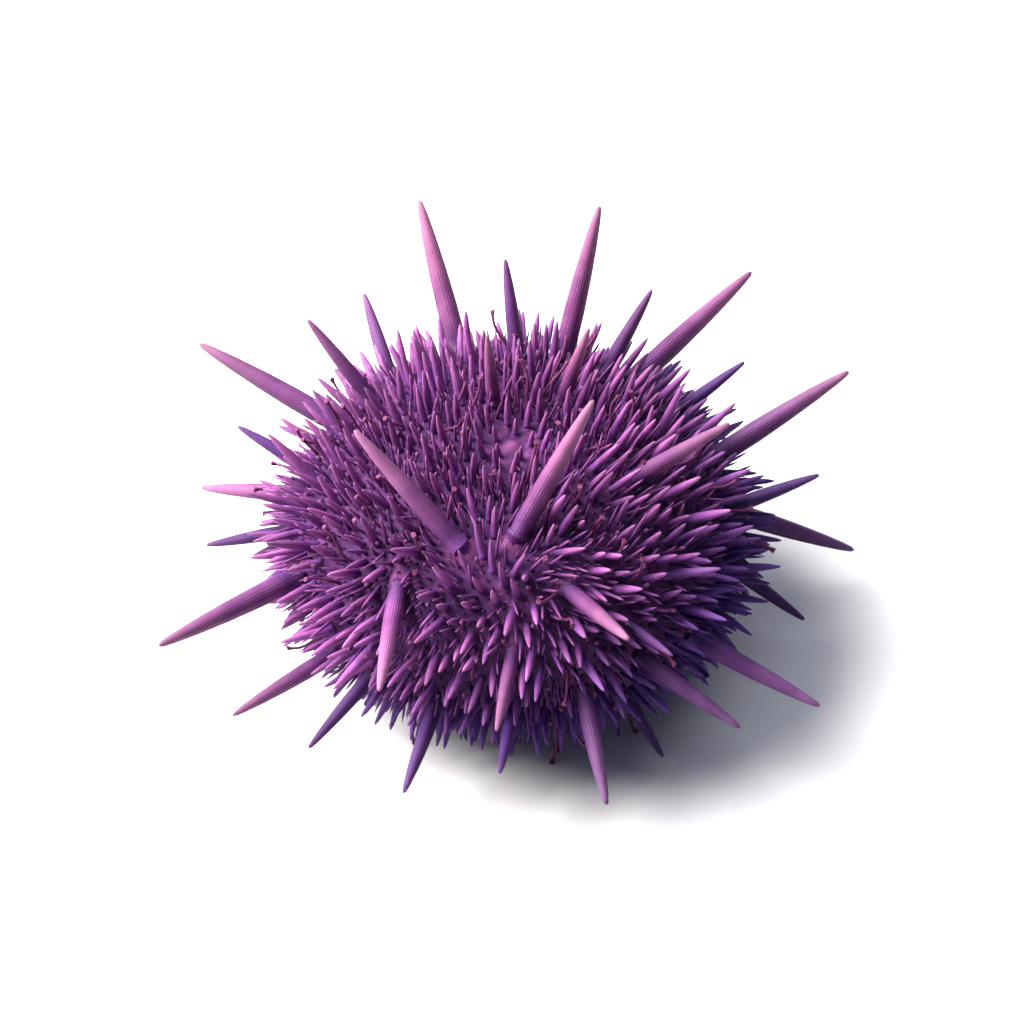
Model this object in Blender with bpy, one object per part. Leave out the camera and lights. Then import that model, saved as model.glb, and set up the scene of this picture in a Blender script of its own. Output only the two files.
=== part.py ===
"""Purple sea urchin, life size: a still model that rests on the spines round its mouth.

The shell is a low dome, parted into its ten double columns of plates: five broad ones,
the interambulacra, and five narrow ones, the ambulacra. The apical disc is a plug in the
top and the mouth membrane a plug in the underside, where five teeth meet. Every column
carries its own spines, fused to it at the root. The long spines that stand out in the
picture are placed so that their tips show where the picture has them, and shorter ones
fill the places between.

Metres, +Z up. The floor is z = 0 and the origin lies under the middle of the model's box.
"""

import math
from collections import namedtuple

import bmesh
import bpy
import numpy as np
from mathutils import Matrix, Vector

MM = 0.001
Z = np.array((0.0, 0.0, 1.0))

# The shell, a dome on a flatter base. A fullness of 2 would be an ellipse
SHELL_RADIUS = 27.5 * MM
DOME_HEIGHT = 16.0 * MM
BASE_DEPTH = 11.0 * MM
DOME_FULLNESS = 2.15
BASE_FULLNESS = 2.5
FLOOR_CLEARANCE = 5.5 * MM
WIDEST_LEVEL = FLOOR_CLEARANCE + BASE_DEPTH
CROWN_LEVEL = WIDEST_LEVEL + DOME_HEIGHT

# The two plugs, and the cut between neighbouring nodes
DISC_RADIUS = 5.0 * MM
MOUTH_RADIUS = 9.5 * MM
PLUG_MEETING = 15.0 * MM
CUT = 0.3 * MM

# Ten double columns of plates
ZONES = 5
ZONE_TURN = math.tau / ZONES
BROAD_WIDTH = math.radians(42)
NARROW_WIDTH = ZONE_TURN - BROAD_WIDTH
FIRST_BROAD = math.radians(-100)
BROAD_STEPS = 6
NARROW_STEPS = 4
MERIDIAN_STEPS = 14

# The mouth, a lip round a hollow where five teeth meet
LIP_RADIUS = 4.2 * MM
LIP_LEVEL = 5.3 * MM
MEMBRANE_RISE = 0.9 * MM
HOLLOW_RADIUS = 2.6 * MM
HOLLOW_CEILING = 8.6 * MM
MOUTH_SIDES = 30
TEETH = 5
TOOTH_OUT = (1.5 * MM, 1.15 * MM, 0.6 * MM)
TOOTH_WIDTH = (1.2 * MM, 0.9 * MM, 0.35 * MM)
TOOTH_DEPTH = (1.3 * MM, 1.0 * MM, 0.4 * MM)
TOOTH_TIP_LEVEL = 3.9 * MM

# The apical disc: a low boss over the anus in a ring of five raised plates
BOSS_RADIUS = 1.5 * MM
BOSS_HEIGHT = 0.7 * MM
BOSS_TOP = 0.7
DISC_SIDES = 20
PLATE_OUT = 3.1 * MM
PLATE_RADIUS = 1.05 * MM
PLATE_RISE = 0.3 * MM
PLATE_TOP = 0.75
DISC_RINGS = ((10, 3.9 * MM, 4.2 * MM), (5, 2.3 * MM, 2.6 * MM))
DISC_SPREAD = 0.3

# The places of the main spines: one file on each side of a column's middle, with the
# rows of the two files half a row apart
ROWS = 12
FILE_OFFSET = 0.25
ROW_OFFSET = 0.25

# A spine's root, and the room it keeps
ROOT_RADIUS = 0.26 * MM
ROOT_GROWTH = 0.05
ROOT_DEPTH = 1.0 * MM
ROOT_MARGIN = 0.12 * MM
CLEARANCE = 0.35 * MM
TRIED_SPOTS = 14
SHORTEST = 3.6 * MM
TIP_LEVEL = 0.5 * MM

# The picture looks down on the urchin from the front, at this angle
VIEW_LIFT = math.radians(45)
VIEW_RIGHT = np.array((1.0, 0.0, 0.0))
VIEW_UP = np.array((0.0, math.sin(VIEW_LIFT), math.cos(VIEW_LIFT)))
VIEW_OUT = np.array((0.0, -math.cos(VIEW_LIFT), math.sin(VIEW_LIFT)))
MIDDLE = np.array((0.0, 0.0, WIDEST_LEVEL))

# The body's outline in the picture, which only the long spines pass: its middle and half
# sizes across the view and up it
BODY_MIDDLE = (0.1 * MM, 0.9 * MM)
BODY_HALVES = (34.2 * MM, 28.4 * MM)

# The long spines of the picture's outline: where each tip shows, as degrees clockwise from
# the top and millimetres from the shell's middle, the way that it points in the picture, as
# degrees clockwise from upwards, and the spine's length in millimetres
OUTER_SPINES = (
    (53.0, 37.0, 49, 8), (78.5, 39.6, 66, 11), (105.8, 38.8, 130, 11), (145.5, 33.6, 154, 9),
    (183.0, 29.2, 180, 12), (224.0, 36.6, 224, 11), (268.5, 38.9, 262, 10), (292.0, 37.8, 306, 9),
    (316.8, 37.8, 322, 9), (-1.4, 35.4, 0, 8), (29.5, 36.1, 36, 9), (42.1, 46.0, 45, 22),
    (63.8, 47.5, 61, 20), (92.2, 44.0, 101, 20), (118.7, 43.9, 122, 19), (237.5, 41.6, 243, 16),
    (253.0, 46.1, 246, 23), (279.0, 40.6, 276, 17), (301.7, 47.2, 298, 22), (344.6, 45.0, 346, 20),
    (14.8, 43.6, 18, 19), (328.7, 36.7, 342, 14), (129.8, 36.9, 134, 17), (160.5, 35.0, 163, 18),
    (203.0, 34.5, 206, 14),
)
# The long spines that stand inside the outline, turned towards the viewer
INNER_SPINES = (
    (304.3, 23.7, 312, 18), (20.2, 28.0, 23, 13), (353.0, 25.5, 0, 12), (62.3, 30.6, 60, 17),
    (104.4, 27.0, 114, 15), (221.0, 25.0, 202, 18), (131.0, 19.0, 132, 17), (30.6, 19.9, 36, 17),
    (184.6, 24.0, 180, 12),
)
# How far the spines of each group may lean, and how much it counts for a root that the
# spine then lies across the view and points the way that the picture has it
POSED_GROUPS = (
    (OUTER_SPINES, math.radians(50), 0.5, 3.0),
    (INNER_SPINES, math.radians(62), 2.5, 3.2),
)
FLAT_SHARE = 0.85
FLATTEST = 0.98
MOST_ADDED = 9 * MM
ADDED_WEIGHT = 0.06

# The shorter coat between them: its lengths where it faces the viewer, at the sides and
# beyond, and those of the share beyond that is long. Its lengths fall to a share over a
# band of upward directions at the crown, and of downward ones underneath
SEED = 7
FACING_LENGTHS = (5.5 * MM, 9.0 * MM)
SIDE_LENGTHS = (8.5 * MM, 13.0 * MM)
FAR_LONG_LENGTHS = (15.0 * MM, 21.0 * MM)
FAR_LONG_SHARE = 0.32
CROWN_BAND = (0.7, 1.0)
CROWN_SHARE = 0.7
UNDERSIDE_BAND = (0.2, 0.8)
UNDERSIDE_SHARE = 0.75
WANDER = 0.13
COMBING = 0.85
COMBING_REACH = 6.0 * MM
SHORTENINGS = (1.0, 0.8, 0.62, 0.48)
SMALL_PLACES = 1200
SMALL_LENGTHS = (4.0 * MM, 6.5 * MM)
GOLDEN_TURN = math.pi * (3 - math.sqrt(5))

# The rings of a spine: the share of its length and the share of its root radius
LONG_RINGS = ((0.45, 0.9), (0.88, 0.48))
SHORT_RINGS = ((0.6, 0.78),)
LONG_FROM = 12.0 * MM
SMALL_UNDER = 6.5 * MM
LONG_SIDES = 6
SHORT_SIDES = 5
GROUNDED_SHARE = 0.62
PAST_FLOOR = 1.2

PURPLE = (0.16, 0.035, 0.17, 1)
DARK_PURPLE = (0.10, 0.03, 0.12, 1)
TOOTH_WHITE = (0.75, 0.72, 0.62, 1)

Spine = namedtuple("Spine", "foot way length radius sink column grounded")


def meridian(angle):
    """Distance from the axis and height of the shell, at an angle above its widest level."""
    up = angle >= 0
    power = np.where(up, 2 / DOME_FULLNESS, 2 / BASE_FULLNESS)
    height = np.where(up, DOME_HEIGHT, BASE_DEPTH)
    out = SHELL_RADIUS * np.clip(np.cos(angle), 0, 1) ** power
    rise = np.sign(angle) * height * np.abs(np.sin(angle)) ** power
    return out, WIDEST_LEVEL + rise


def slope(out, rise):
    """How fast the shell's measure, 1 on its surface, grows away from the axis and up."""
    up = rise >= 0
    fullness = np.where(up, DOME_FULLNESS, BASE_FULLNESS)
    height = np.where(up, DOME_HEIGHT, BASE_DEPTH)
    away = fullness * (out / SHELL_RADIUS) ** (fullness - 1) / SHELL_RADIUS
    lift = fullness * np.sign(rise) * (np.abs(rise) / height) ** (fullness - 1) / height
    return away, lift


def lean(angle):
    """The shell's outward direction there, as its share away from the axis and its share up."""
    out, level = meridian(angle)
    away, lift = slope(out, level - WIDEST_LEVEL)
    size = np.hypot(away, lift)
    return away / size, lift / size


def shell_distance(spots):
    """Roughly how far spots near the shell lie outside it."""
    out = np.hypot(spots[:, 0], spots[:, 1])
    rise = spots[:, 2] - WIDEST_LEVEL
    up = rise >= 0
    fullness = np.where(up, DOME_FULLNESS, BASE_FULLNESS)
    height = np.where(up, DOME_HEIGHT, BASE_DEPTH)
    measure = (out / SHELL_RADIUS) ** fullness + (np.abs(rise) / height) ** fullness
    return (measure - 1) / np.hypot(*slope(out, rise))


def meridian_table(samples=4001):
    """Angles from the mouth's edge to the disc's edge, and the shares of the way and the area there."""
    lowest = -math.acos((MOUTH_RADIUS / SHELL_RADIUS) ** (BASE_FULLNESS / 2))
    highest = math.acos((DISC_RADIUS / SHELL_RADIUS) ** (DOME_FULLNESS / 2))
    angles = np.linspace(lowest, highest, samples)
    out, level = meridian(angles)
    steps = np.hypot(np.diff(out), np.diff(level))
    way = np.concatenate([[0], np.cumsum(steps)])
    area = np.concatenate([[0], np.cumsum(steps * (out[1:] + out[:-1]))])
    return angles, way / way[-1], area / area[-1]


TABLE_ANGLES, TABLE_WAY, TABLE_AREA = meridian_table()


def place(angle, azimuth):
    """The spot on the shell at an angle above its widest level and an azimuth, and its outward direction."""
    out, level = meridian(angle)
    away, lift = lean(angle)
    across = np.array((math.cos(azimuth), math.sin(azimuth), 0))
    return out * across + level * Z, away * across + lift * Z


def columns():
    """Name, middle azimuth and width of the ten columns."""
    made = []
    for zone in range(ZONES):
        broad = FIRST_BROAD + zone * ZONE_TURN
        made.append((f"interambulacrum_{zone + 1}", broad, BROAD_WIDTH, BROAD_STEPS))
        made.append((f"ambulacrum_{zone + 1}", broad + ZONE_TURN / 2, NARROW_WIDTH, NARROW_STEPS))
    return made


COLUMNS = columns()


def main_places():
    """Foot, outward direction and column of each main spine's place."""
    places = []
    for number, (_, middle, width, _) in enumerate(COLUMNS):
        for side in (-1, 1):
            for row in range(ROWS):
                way = (row + 0.5 + side * ROW_OFFSET) / ROWS
                angle = np.interp(way, TABLE_WAY, TABLE_ANGLES)
                places.append((*place(angle, middle + side * FILE_OFFSET * width), number))
    return places


def small_places():
    """The same for the small spines, along a spiral that gives each the same area of shell."""
    places = []
    for k in range(SMALL_PLACES):
        angle = np.interp((k + 0.5) / SMALL_PLACES, TABLE_AREA, TABLE_ANGLES)
        azimuth = k * GOLDEN_TURN
        turns = [abs(math.remainder(azimuth - middle, math.tau)) / width for _, middle, width, _ in COLUMNS]
        places.append((*place(angle, azimuth), int(np.argmin(turns))))
    return places


def root(normal, way, length):
    """A spine's radius at its root, and how far the root sinks, more where the spine leans."""
    radius = ROOT_RADIUS + ROOT_GROWTH * length
    upright = way @ normal
    return radius, (ROOT_DEPTH + radius * math.sqrt(1 - min(upright**2, 1))) / upright


def side_distance(spots, column):
    """How far spots lie inside their column's side cuts."""
    _, middle, width, _ = COLUMNS[column]
    turn = np.arctan2(spots[:, 1], spots[:, 0]) - middle
    turn = np.abs((turn + math.pi) % math.tau - math.pi)
    inside = np.sin(np.clip(width / 2 - turn, -math.pi / 2, math.pi / 2))
    return np.hypot(spots[:, 0], spots[:, 1]) * inside - CUT / 2


def fits_column(spine):
    """Whether the root stays in its own column and the rest keeps clear of the neighbours' shell."""
    shares = np.linspace(0, 1, TRIED_SPOTS)
    above = spine.foot + np.outer(shares * spine.length, spine.way)
    below = spine.foot - np.outer(shares * spine.sink, spine.way)
    plug = np.where(below[:, 2] > PLUG_MEETING, DISC_RADIUS, MOUTH_RADIUS)
    walls = np.minimum(side_distance(below, spine.column), np.hypot(below[:, 0], below[:, 1]) - plug)
    if walls.min() < spine.radius + ROOT_MARGIN:
        return False
    room = np.minimum(side_distance(above, spine.column), np.hypot(above[:, 0], above[:, 1]) - plug[0])
    thickness = spine.radius * (1 - shares / 3) + CLEARANCE
    low = shell_distance(above) < thickness
    return not np.any(low & (room < thickness))


class Coat:
    """The spines placed so far."""

    def __init__(self):
        self.spines = []
        self.feet = np.zeros((0, 3))
        self.reaches = np.zeros((0, 3))
        self.radii = np.zeros(0)

    def add(self, spine):
        self.spines.append(spine)
        self.feet = np.vstack([self.feet, spine.foot])
        self.reaches = np.vstack([self.reaches, spine.way * spine.length])
        self.radii = np.append(self.radii, spine.radius)

    def has_room(self, spine):
        """Whether a spine keeps clear of all the others, from the closest spots of their middle lines."""
        reach = spine.way * spine.length
        gap = spine.foot - self.feet
        own = reach @ reach
        theirs = np.einsum("ij,ij->i", self.reaches, self.reaches)
        along = self.reaches @ reach
        towards = gap @ reach
        back = np.einsum("ij,ij->i", self.reaches, gap)
        spread = np.maximum(own * theirs - along * along, 1e-18)
        share = np.clip((along * back - towards * theirs) / spread, 0, 1)
        other = np.clip((along * share + back) / theirs, 0, 1)
        share = np.clip((along * other - towards) / own, 0, 1)
        apart = np.linalg.norm(gap + np.outer(share, reach) - other[:, None] * self.reaches, axis=1)
        needed = spine.radius * (1 - share / 3) + self.radii * (1 - other / 3) + CLEARANCE
        return bool(np.all(apart > needed))

    def try_add(self, foot, normal, way, length, column):
        """Adds a spine where it fits. One that would pass the floor ends on it, in a small flat."""
        level = foot[2] + way[2] * length
        grounded = level < TIP_LEVEL
        if grounded:
            length = foot[2] / -way[2]
        spine = Spine(foot, way, length, *root(normal, way, length), column, grounded)
        if length < SHORTEST or not fits_column(spine) or not self.has_room(spine):
            return False
        self.add(spine)
        return True


def across_view(clock):
    """The direction that shows in the picture at this many degrees clockwise from upwards."""
    turn = math.radians(clock)
    return math.sin(turn) * VIEW_RIGHT + math.cos(turn) * VIEW_UP


def posed_choices(spine, steepest, flat_weight, skew_weight, places, taken):
    """Ways to hold a spine's tip where the picture has it, from each free place, the best first."""
    clock, reach, pointing, length = spine
    goal = MIDDLE + reach * MM * across_view(clock)
    choices = []
    for number, (foot, normal, _) in enumerate(places):
        if number in taken:
            continue
        across = goal - foot
        across = across - (across @ VIEW_OUT) * VIEW_OUT
        flat = np.linalg.norm(across)
        size = max(length * MM, flat / FLATTEST)
        if size > length * MM + MOST_ADDED:
            continue
        depth = math.sqrt(size**2 - flat**2)
        skew = math.acos(np.clip(across @ across_view(pointing) / max(flat, 1e-9), -1, 1))
        for sign in (-1, 1):
            way = (across + sign * depth * VIEW_OUT) / size
            tilt = math.acos(np.clip(way @ normal, -1, 1))
            if tilt > steepest or foot[2] + way[2] * size < TIP_LEVEL:
                continue
            cost = tilt + skew_weight * skew + ADDED_WEIGHT * (size - length * MM) / MM
            cost += flat_weight * max(0, FLAT_SHARE - flat / size)
            choices.append((cost, number, way, size))
    return sorted(choices, key=lambda choice: choice[0])


def body_length(foot, way):
    """How long a spine can be before its tip shows outside the body's outline in the picture."""
    start = foot - MIDDLE
    spot = np.array((start @ VIEW_RIGHT, start @ VIEW_UP)) - BODY_MIDDLE
    spot, step = spot / BODY_HALVES, np.array((way @ VIEW_RIGHT, way @ VIEW_UP)) / BODY_HALVES
    a, b, c = step @ step, spot @ step, spot @ spot - 1
    return (math.sqrt(max(b * b - a * c, 0)) - b) / a


def combed(foot, normal, leaders, wander):
    """A direction near the shell's own, that follows the lean of the posed spines close by."""
    way = normal + wander
    for spine, upright in leaders:
        near = math.exp(-((np.linalg.norm(foot - spine.foot) / COMBING_REACH) ** 2))
        way = way + COMBING * near * (spine.way - (spine.way @ upright) * upright)
    return way / np.linalg.norm(way)


def coat_length(normal, chances):
    """The wanted length of a spine of the shorter coat, by the way the shell faces there."""
    facing = max(normal @ VIEW_OUT, 0)
    short, long = np.multiply(SIDE_LENGTHS, 1 - facing) + np.multiply(FACING_LENGTHS, facing)
    if facing == 0 and chances[1] < FAR_LONG_SHARE:
        short, long = FAR_LONG_LENGTHS
    length = short + (long - short) * chances[0]
    crown = np.interp(normal[2], CROWN_BAND, (1, CROWN_SHARE))
    return length * crown * np.interp(-normal[2], UNDERSIDE_BAND, (1, UNDERSIDE_SHARE))


def disc_spines():
    """The apical disc's own spines, in two rings that spread a little."""
    spines = []
    for count, out, length in DISC_RINGS:
        for k in range(count):
            azimuth = FIRST_BROAD + (k + 0.5) * math.tau / count
            across = np.array((math.cos(azimuth), math.sin(azimuth), 0))
            way = Z + DISC_SPREAD * out / DISC_RADIUS * across
            way = way / np.linalg.norm(way)
            foot = out * across + CROWN_LEVEL * Z
            spines.append(Spine(foot, way, length, *root(Z, way, length), None, False))
    return spines


def grown_coat():
    """Every spine: the disc's own, the posed ones, the other main ones, then the small ones."""
    rng = np.random.default_rng(SEED)
    coat = Coat()
    for spine in disc_spines():
        coat.add(spine)
    crowned = len(coat.spines)
    places = main_places()
    taken = set()
    leaders = []
    posed = [(spine, *group[1:]) for group in POSED_GROUPS for spine in group[0]]
    for wanted in posed:
        for _, number, way, size in posed_choices(*wanted, places, taken):
            foot, normal, column = places[number]
            if coat.try_add(foot, normal, way, size, column):
                taken.add(number)
                leaders.append((coat.spines[-1], normal))
                break
        else:
            print("no place for the posed spine at", wanted[0][0])
    chances = rng.random((len(places), 2))
    wanders = rng.normal(0, WANDER, (len(places), 3))
    for number, (foot, normal, column) in enumerate(places):
        if number in taken:
            continue
        wanted = coat_length(normal, chances[number])
        for share in SHORTENINGS:
            way = combed(foot, normal, leaders, wanders[number])
            length = min(wanted * share, body_length(foot, way))
            if coat.try_add(foot, normal, way, length, column):
                break
    mains = len(coat.spines) - crowned
    places = small_places()
    chances = rng.random(len(places))
    wanders = rng.normal(0, WANDER, (len(places), 3))
    for number, (foot, normal, column) in enumerate(places):
        span = SMALL_LENGTHS[1] - SMALL_LENGTHS[0]
        way = combed(foot, normal, leaders, wanders[number])
        length = min(SMALL_LENGTHS[0] + span * chances[number], body_length(foot, way))
        coat.try_add(foot, normal, way, length, column)
    small = len(coat.spines) - crowned - mains
    print(len(leaders), "posed,", mains - len(leaders), "other main,", small, "small spines")
    return coat.spines


def clear_scene():
    for obj in list(bpy.data.objects):
        bpy.data.objects.remove(obj)


def material(name, colour, roughness):
    made = bpy.data.materials.new(name)
    made.use_nodes = True
    shader = made.node_tree.nodes["Principled BSDF"]
    shader.inputs["Base Color"].default_value = colour
    shader.inputs["Roughness"].default_value = roughness
    shader.inputs["Metallic"].default_value = 0
    made.diffuse_color = colour
    return made


def linked(name, bm, collection):
    """Turns a bmesh into an object of a collection."""
    bmesh.ops.recalc_face_normals(bm, faces=bm.faces)
    mesh = bpy.data.meshes.new(name)
    bm.to_mesh(mesh)
    bm.free()
    obj = bpy.data.objects.new(name, mesh)
    collection.objects.link(obj)
    return obj


def finished(name, bm, finish):
    """Turns a bmesh into a named, smooth-shaded object."""
    bmesh.ops.triangulate(bm, faces=bm.faces, ngon_method="EAR_CLIP")
    obj = linked(name, bm, bpy.context.scene.collection)
    obj.data.materials.append(finish)
    obj.data.shade_smooth()
    obj.data.set_sharp_from_angle(angle=math.radians(35))
    return obj


def column_block(bm, middle, width, steps):
    """A wedge of the shell about an azimuth, from its surface in to the two plugs, with flat sides."""
    ways = np.linspace(0, 1, MERIDIAN_STEPS + 1)
    angles = np.interp(ways, TABLE_WAY, TABLE_ANGLES)
    outline = list(zip(*meridian(angles)))
    outline += [(DISC_RADIUS, PLUG_MEETING), (MOUTH_RADIUS, PLUG_MEETING)]
    slices = []
    for step in range(steps + 1):
        ring = []
        for radius, height in outline:
            half = width / 2 - math.asin(CUT / 2 / radius)
            azimuth = middle + half * (2 * step / steps - 1)
            spot = (radius * math.cos(azimuth), radius * math.sin(azimuth), height)
            ring.append(bm.verts.new(spot))
        slices.append(ring)
    count = len(outline)
    for ring, after in zip(slices, slices[1:]):
        for k in range(count):
            n = (k + 1) % count
            bm.faces.new((ring[k], ring[n], after[n], after[k]))
    bm.faces.new(slices[0])
    bm.faces.new(list(reversed(slices[-1])))


def turned(bm, outline, sides):
    """A closed solid turned round the axis from an outline that starts and ends on it."""
    rings = []
    for radius, height in outline:
        if radius == 0:
            rings.append([bm.verts.new((0, 0, height))])
            continue
        ring = []
        for k in range(sides):
            azimuth = math.tau * k / sides
            ring.append(bm.verts.new((radius * math.cos(azimuth), radius * math.sin(azimuth), height)))
        rings.append(ring)
    for ring, after in zip(rings, rings[1:]):
        for k in range(sides):
            n = (k + 1) % sides
            corners = [ring[k % len(ring)], ring[n % len(ring)], after[n % len(after)], after[k % len(after)]]
            bm.faces.new(list(dict.fromkeys(corners)))


def spine_solid(bm, spine, turn):
    """A tapered spine with a sunk root. A grounded one ends in a flat cut level with the floor."""
    long = spine.length > LONG_FROM and not spine.grounded
    shares = LONG_RINGS if long else SHORT_RINGS if spine.length > SMALL_UNDER else ()
    sides = LONG_SIDES if long else SHORT_SIDES
    across = np.cross(spine.way, VIEW_RIGHT if abs(spine.way[0]) < 0.8 else Z)
    across = across / np.linalg.norm(across)
    other = np.cross(spine.way, across)
    angles = turn + np.arange(sides) * math.tau / sides
    edge = np.outer(np.cos(angles), across) + np.outer(np.sin(angles), other)
    loops = [spine.foot - spine.sink * spine.way + spine.radius * edge]
    if spine.grounded:
        ends = spine.foot + PAST_FLOOR * spine.length * spine.way + GROUNDED_SHARE * spine.radius * edge
        share = loops[0][:, 2] / (loops[0][:, 2] - ends[:, 2])
        flat = loops[0] + share[:, None] * (ends - loops[0])
        flat[:, 2] = 0
        loops.append(flat)
    else:
        for way, thickness in shares:
            loops.append(spine.foot + way * spine.length * spine.way + thickness * spine.radius * edge)
    rings = [[bm.verts.new(spot) for spot in loop] for loop in loops]
    for ring, after in zip(rings, rings[1:]):
        for k in range(sides):
            n = (k + 1) % sides
            bm.faces.new((ring[k], ring[n], after[n], after[k]))
    bm.faces.new(list(reversed(rings[0])))
    if spine.grounded:
        bm.faces.new(rings[-1])
        return
    tip = bm.verts.new(spine.foot + spine.length * spine.way)
    for k in range(sides):
        bm.faces.new((rings[-1][k], rings[-1][(k + 1) % sides], tip))


def joined(name, base, pieces, finish):
    """One closed body from a base and the pieces that grow out of it."""
    group = bpy.data.collections.new(name)
    bpy.context.scene.collection.children.link(group)
    for number, piece in enumerate(pieces):
        linked(f"{name} piece {number}", piece, group)
    obj = linked(name + " base", base, bpy.context.scene.collection)
    union = obj.modifiers.new("union", "BOOLEAN")
    union.operation = "UNION"
    union.solver = "EXACT"
    union.operand_type = "COLLECTION"
    union.collection = group
    view = bpy.context.evaluated_depsgraph_get()
    bm = bmesh.new()
    bm.from_mesh(obj.evaluated_get(view).to_mesh())
    for piece in [obj, *group.objects]:
        bpy.data.objects.remove(piece)
    bpy.data.collections.remove(group)
    keep_largest(bm)
    return finished(name, bm, finish)


def keep_largest(bm):
    """Keeps only the largest closed surface."""
    left = set(bm.verts)
    surfaces = []
    while left:
        start = left.pop()
        surface, edge = {start}, [start]
        while edge:
            vert = edge.pop()
            for link in vert.link_edges:
                after = link.other_vert(vert)
                if after not in surface:
                    surface.add(after)
                    edge.append(after)
        left -= surface
        surfaces.append(surface)
    largest = max(surfaces, key=len)
    small = [vert for surface in surfaces if surface is not largest for vert in surface]
    bmesh.ops.delete(bm, geom=small, context="VERTS")


def spine_solids(spines, column):
    """The solids of one column's spines, or of the disc's, each turned its own way."""
    turns = np.random.default_rng(SEED).random(len(spines)) * math.tau
    pieces = []
    for spine, turn in zip(spines, turns):
        if spine.column == column:
            pieces.append(bmesh.new())
            spine_solid(pieces[-1], spine, turn)
    return pieces


def make_columns(spines, finish):
    for number, (name, middle, width, steps) in enumerate(COLUMNS):
        base = bmesh.new()
        column_block(base, middle, width, steps)
        joined(name, base, spine_solids(spines, number), finish)


def make_disc(spines, finish):
    radius = DISC_RADIUS - CUT
    edge = float(meridian(TABLE_ANGLES[-1])[1])
    base = bmesh.new()
    outline = [
        (0, PLUG_MEETING + CUT / 2),
        (radius, PLUG_MEETING + CUT / 2),
        (radius, edge),
        (BOSS_RADIUS, CROWN_LEVEL),
        (BOSS_TOP * BOSS_RADIUS, CROWN_LEVEL + BOSS_HEIGHT),
        (0, CROWN_LEVEL + BOSS_HEIGHT),
    ]
    turned(base, outline, DISC_SIDES)
    pieces = spine_solids(spines, None)
    for zone in range(ZONES):
        azimuth = FIRST_BROAD + zone * ZONE_TURN
        plate = bmesh.new()
        out = Matrix.Translation((PLATE_OUT * math.cos(azimuth), PLATE_OUT * math.sin(azimuth), CROWN_LEVEL))
        bmesh.ops.create_cone(
            plate, cap_ends=True, segments=6, radius1=PLATE_RADIUS, radius2=PLATE_TOP * PLATE_RADIUS,
            depth=2 * PLATE_RISE, matrix=out @ Matrix.Rotation(azimuth, 4, "Z"),
        )
        pieces.append(plate)
    joined("apical_disc", base, pieces, finish)


def make_mouth(finish):
    radius = MOUTH_RADIUS - CUT
    edge = float(meridian(TABLE_ANGLES[0])[1])
    bm = bmesh.new()
    outline = [
        (0, HOLLOW_CEILING),
        (HOLLOW_RADIUS, HOLLOW_CEILING),
        (HOLLOW_RADIUS, LIP_LEVEL + MEMBRANE_RISE / 2),
        ((HOLLOW_RADIUS + LIP_RADIUS) / 2, LIP_LEVEL),
        (LIP_RADIUS, LIP_LEVEL + MEMBRANE_RISE / 2),
        ((LIP_RADIUS + radius) / 2, edge + MEMBRANE_RISE),
        (radius, edge + MEMBRANE_RISE / 2),
        (radius, PLUG_MEETING - CUT / 2),
        (0, PLUG_MEETING - CUT / 2),
    ]
    turned(bm, outline, MOUTH_SIDES)
    finished("peristome", bm, finish)


def make_teeth(finish):
    """Five curved wedges that hang from the hollow's ceiling and close towards the axis."""
    levels = np.linspace(HOLLOW_CEILING - CUT, TOOTH_TIP_LEVEL, len(TOOTH_OUT))
    for number in range(TEETH):
        turn = Matrix.Rotation(FIRST_BROAD + number * math.tau / TEETH, 4, "Z")
        bm = bmesh.new()
        rings = []
        for level, out, width, depth in zip(levels, TOOTH_OUT, TOOTH_WIDTH, TOOTH_DEPTH):
            corners = ((-1, -1), (1, -1), (1, 1), (-1, 1))
            ring = [(out + x * depth / 2, y * width / 2, level) for x, y in corners]
            rings.append([bm.verts.new(turn @ Vector(spot)) for spot in ring])
        for ring, after in zip(rings, rings[1:]):
            for k in range(4):
                n = (k + 1) % 4
                bm.faces.new((ring[k], ring[n], after[n], after[k]))
        bm.faces.new(rings[0])
        bm.faces.new(list(reversed(rings[-1])))
        finished(f"tooth_{number + 1}", bm, finish)


def centre_on_floor():
    """Moves everything so that the origin lies under the middle of the box."""
    meshes = [obj.data for obj in bpy.data.objects]
    spots = np.concatenate([[vert.co for vert in mesh.vertices] for mesh in meshes])
    middle = (spots.min(axis=0) + spots.max(axis=0)) / 2
    for mesh in meshes:
        mesh.transform(Matrix.Translation((-middle[0], -middle[1], 0)))


def main():
    clear_scene()
    purple = material("urchin purple", PURPLE, 0.5)
    dark = material("membrane purple", DARK_PURPLE, 0.5)
    spines = grown_coat()
    make_columns(spines, purple)
    make_disc(spines, purple)
    make_mouth(dark)
    make_teeth(material("tooth white", TOOTH_WHITE, 0.4))
    centre_on_floor()


main()
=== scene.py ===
# Purple sea urchin, life size: its skin, spines, tube feet and teeth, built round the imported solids.
# All lengths are in metres. The layout of the spines is worked out the same way as in the solids.

import math
from collections import namedtuple

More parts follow.
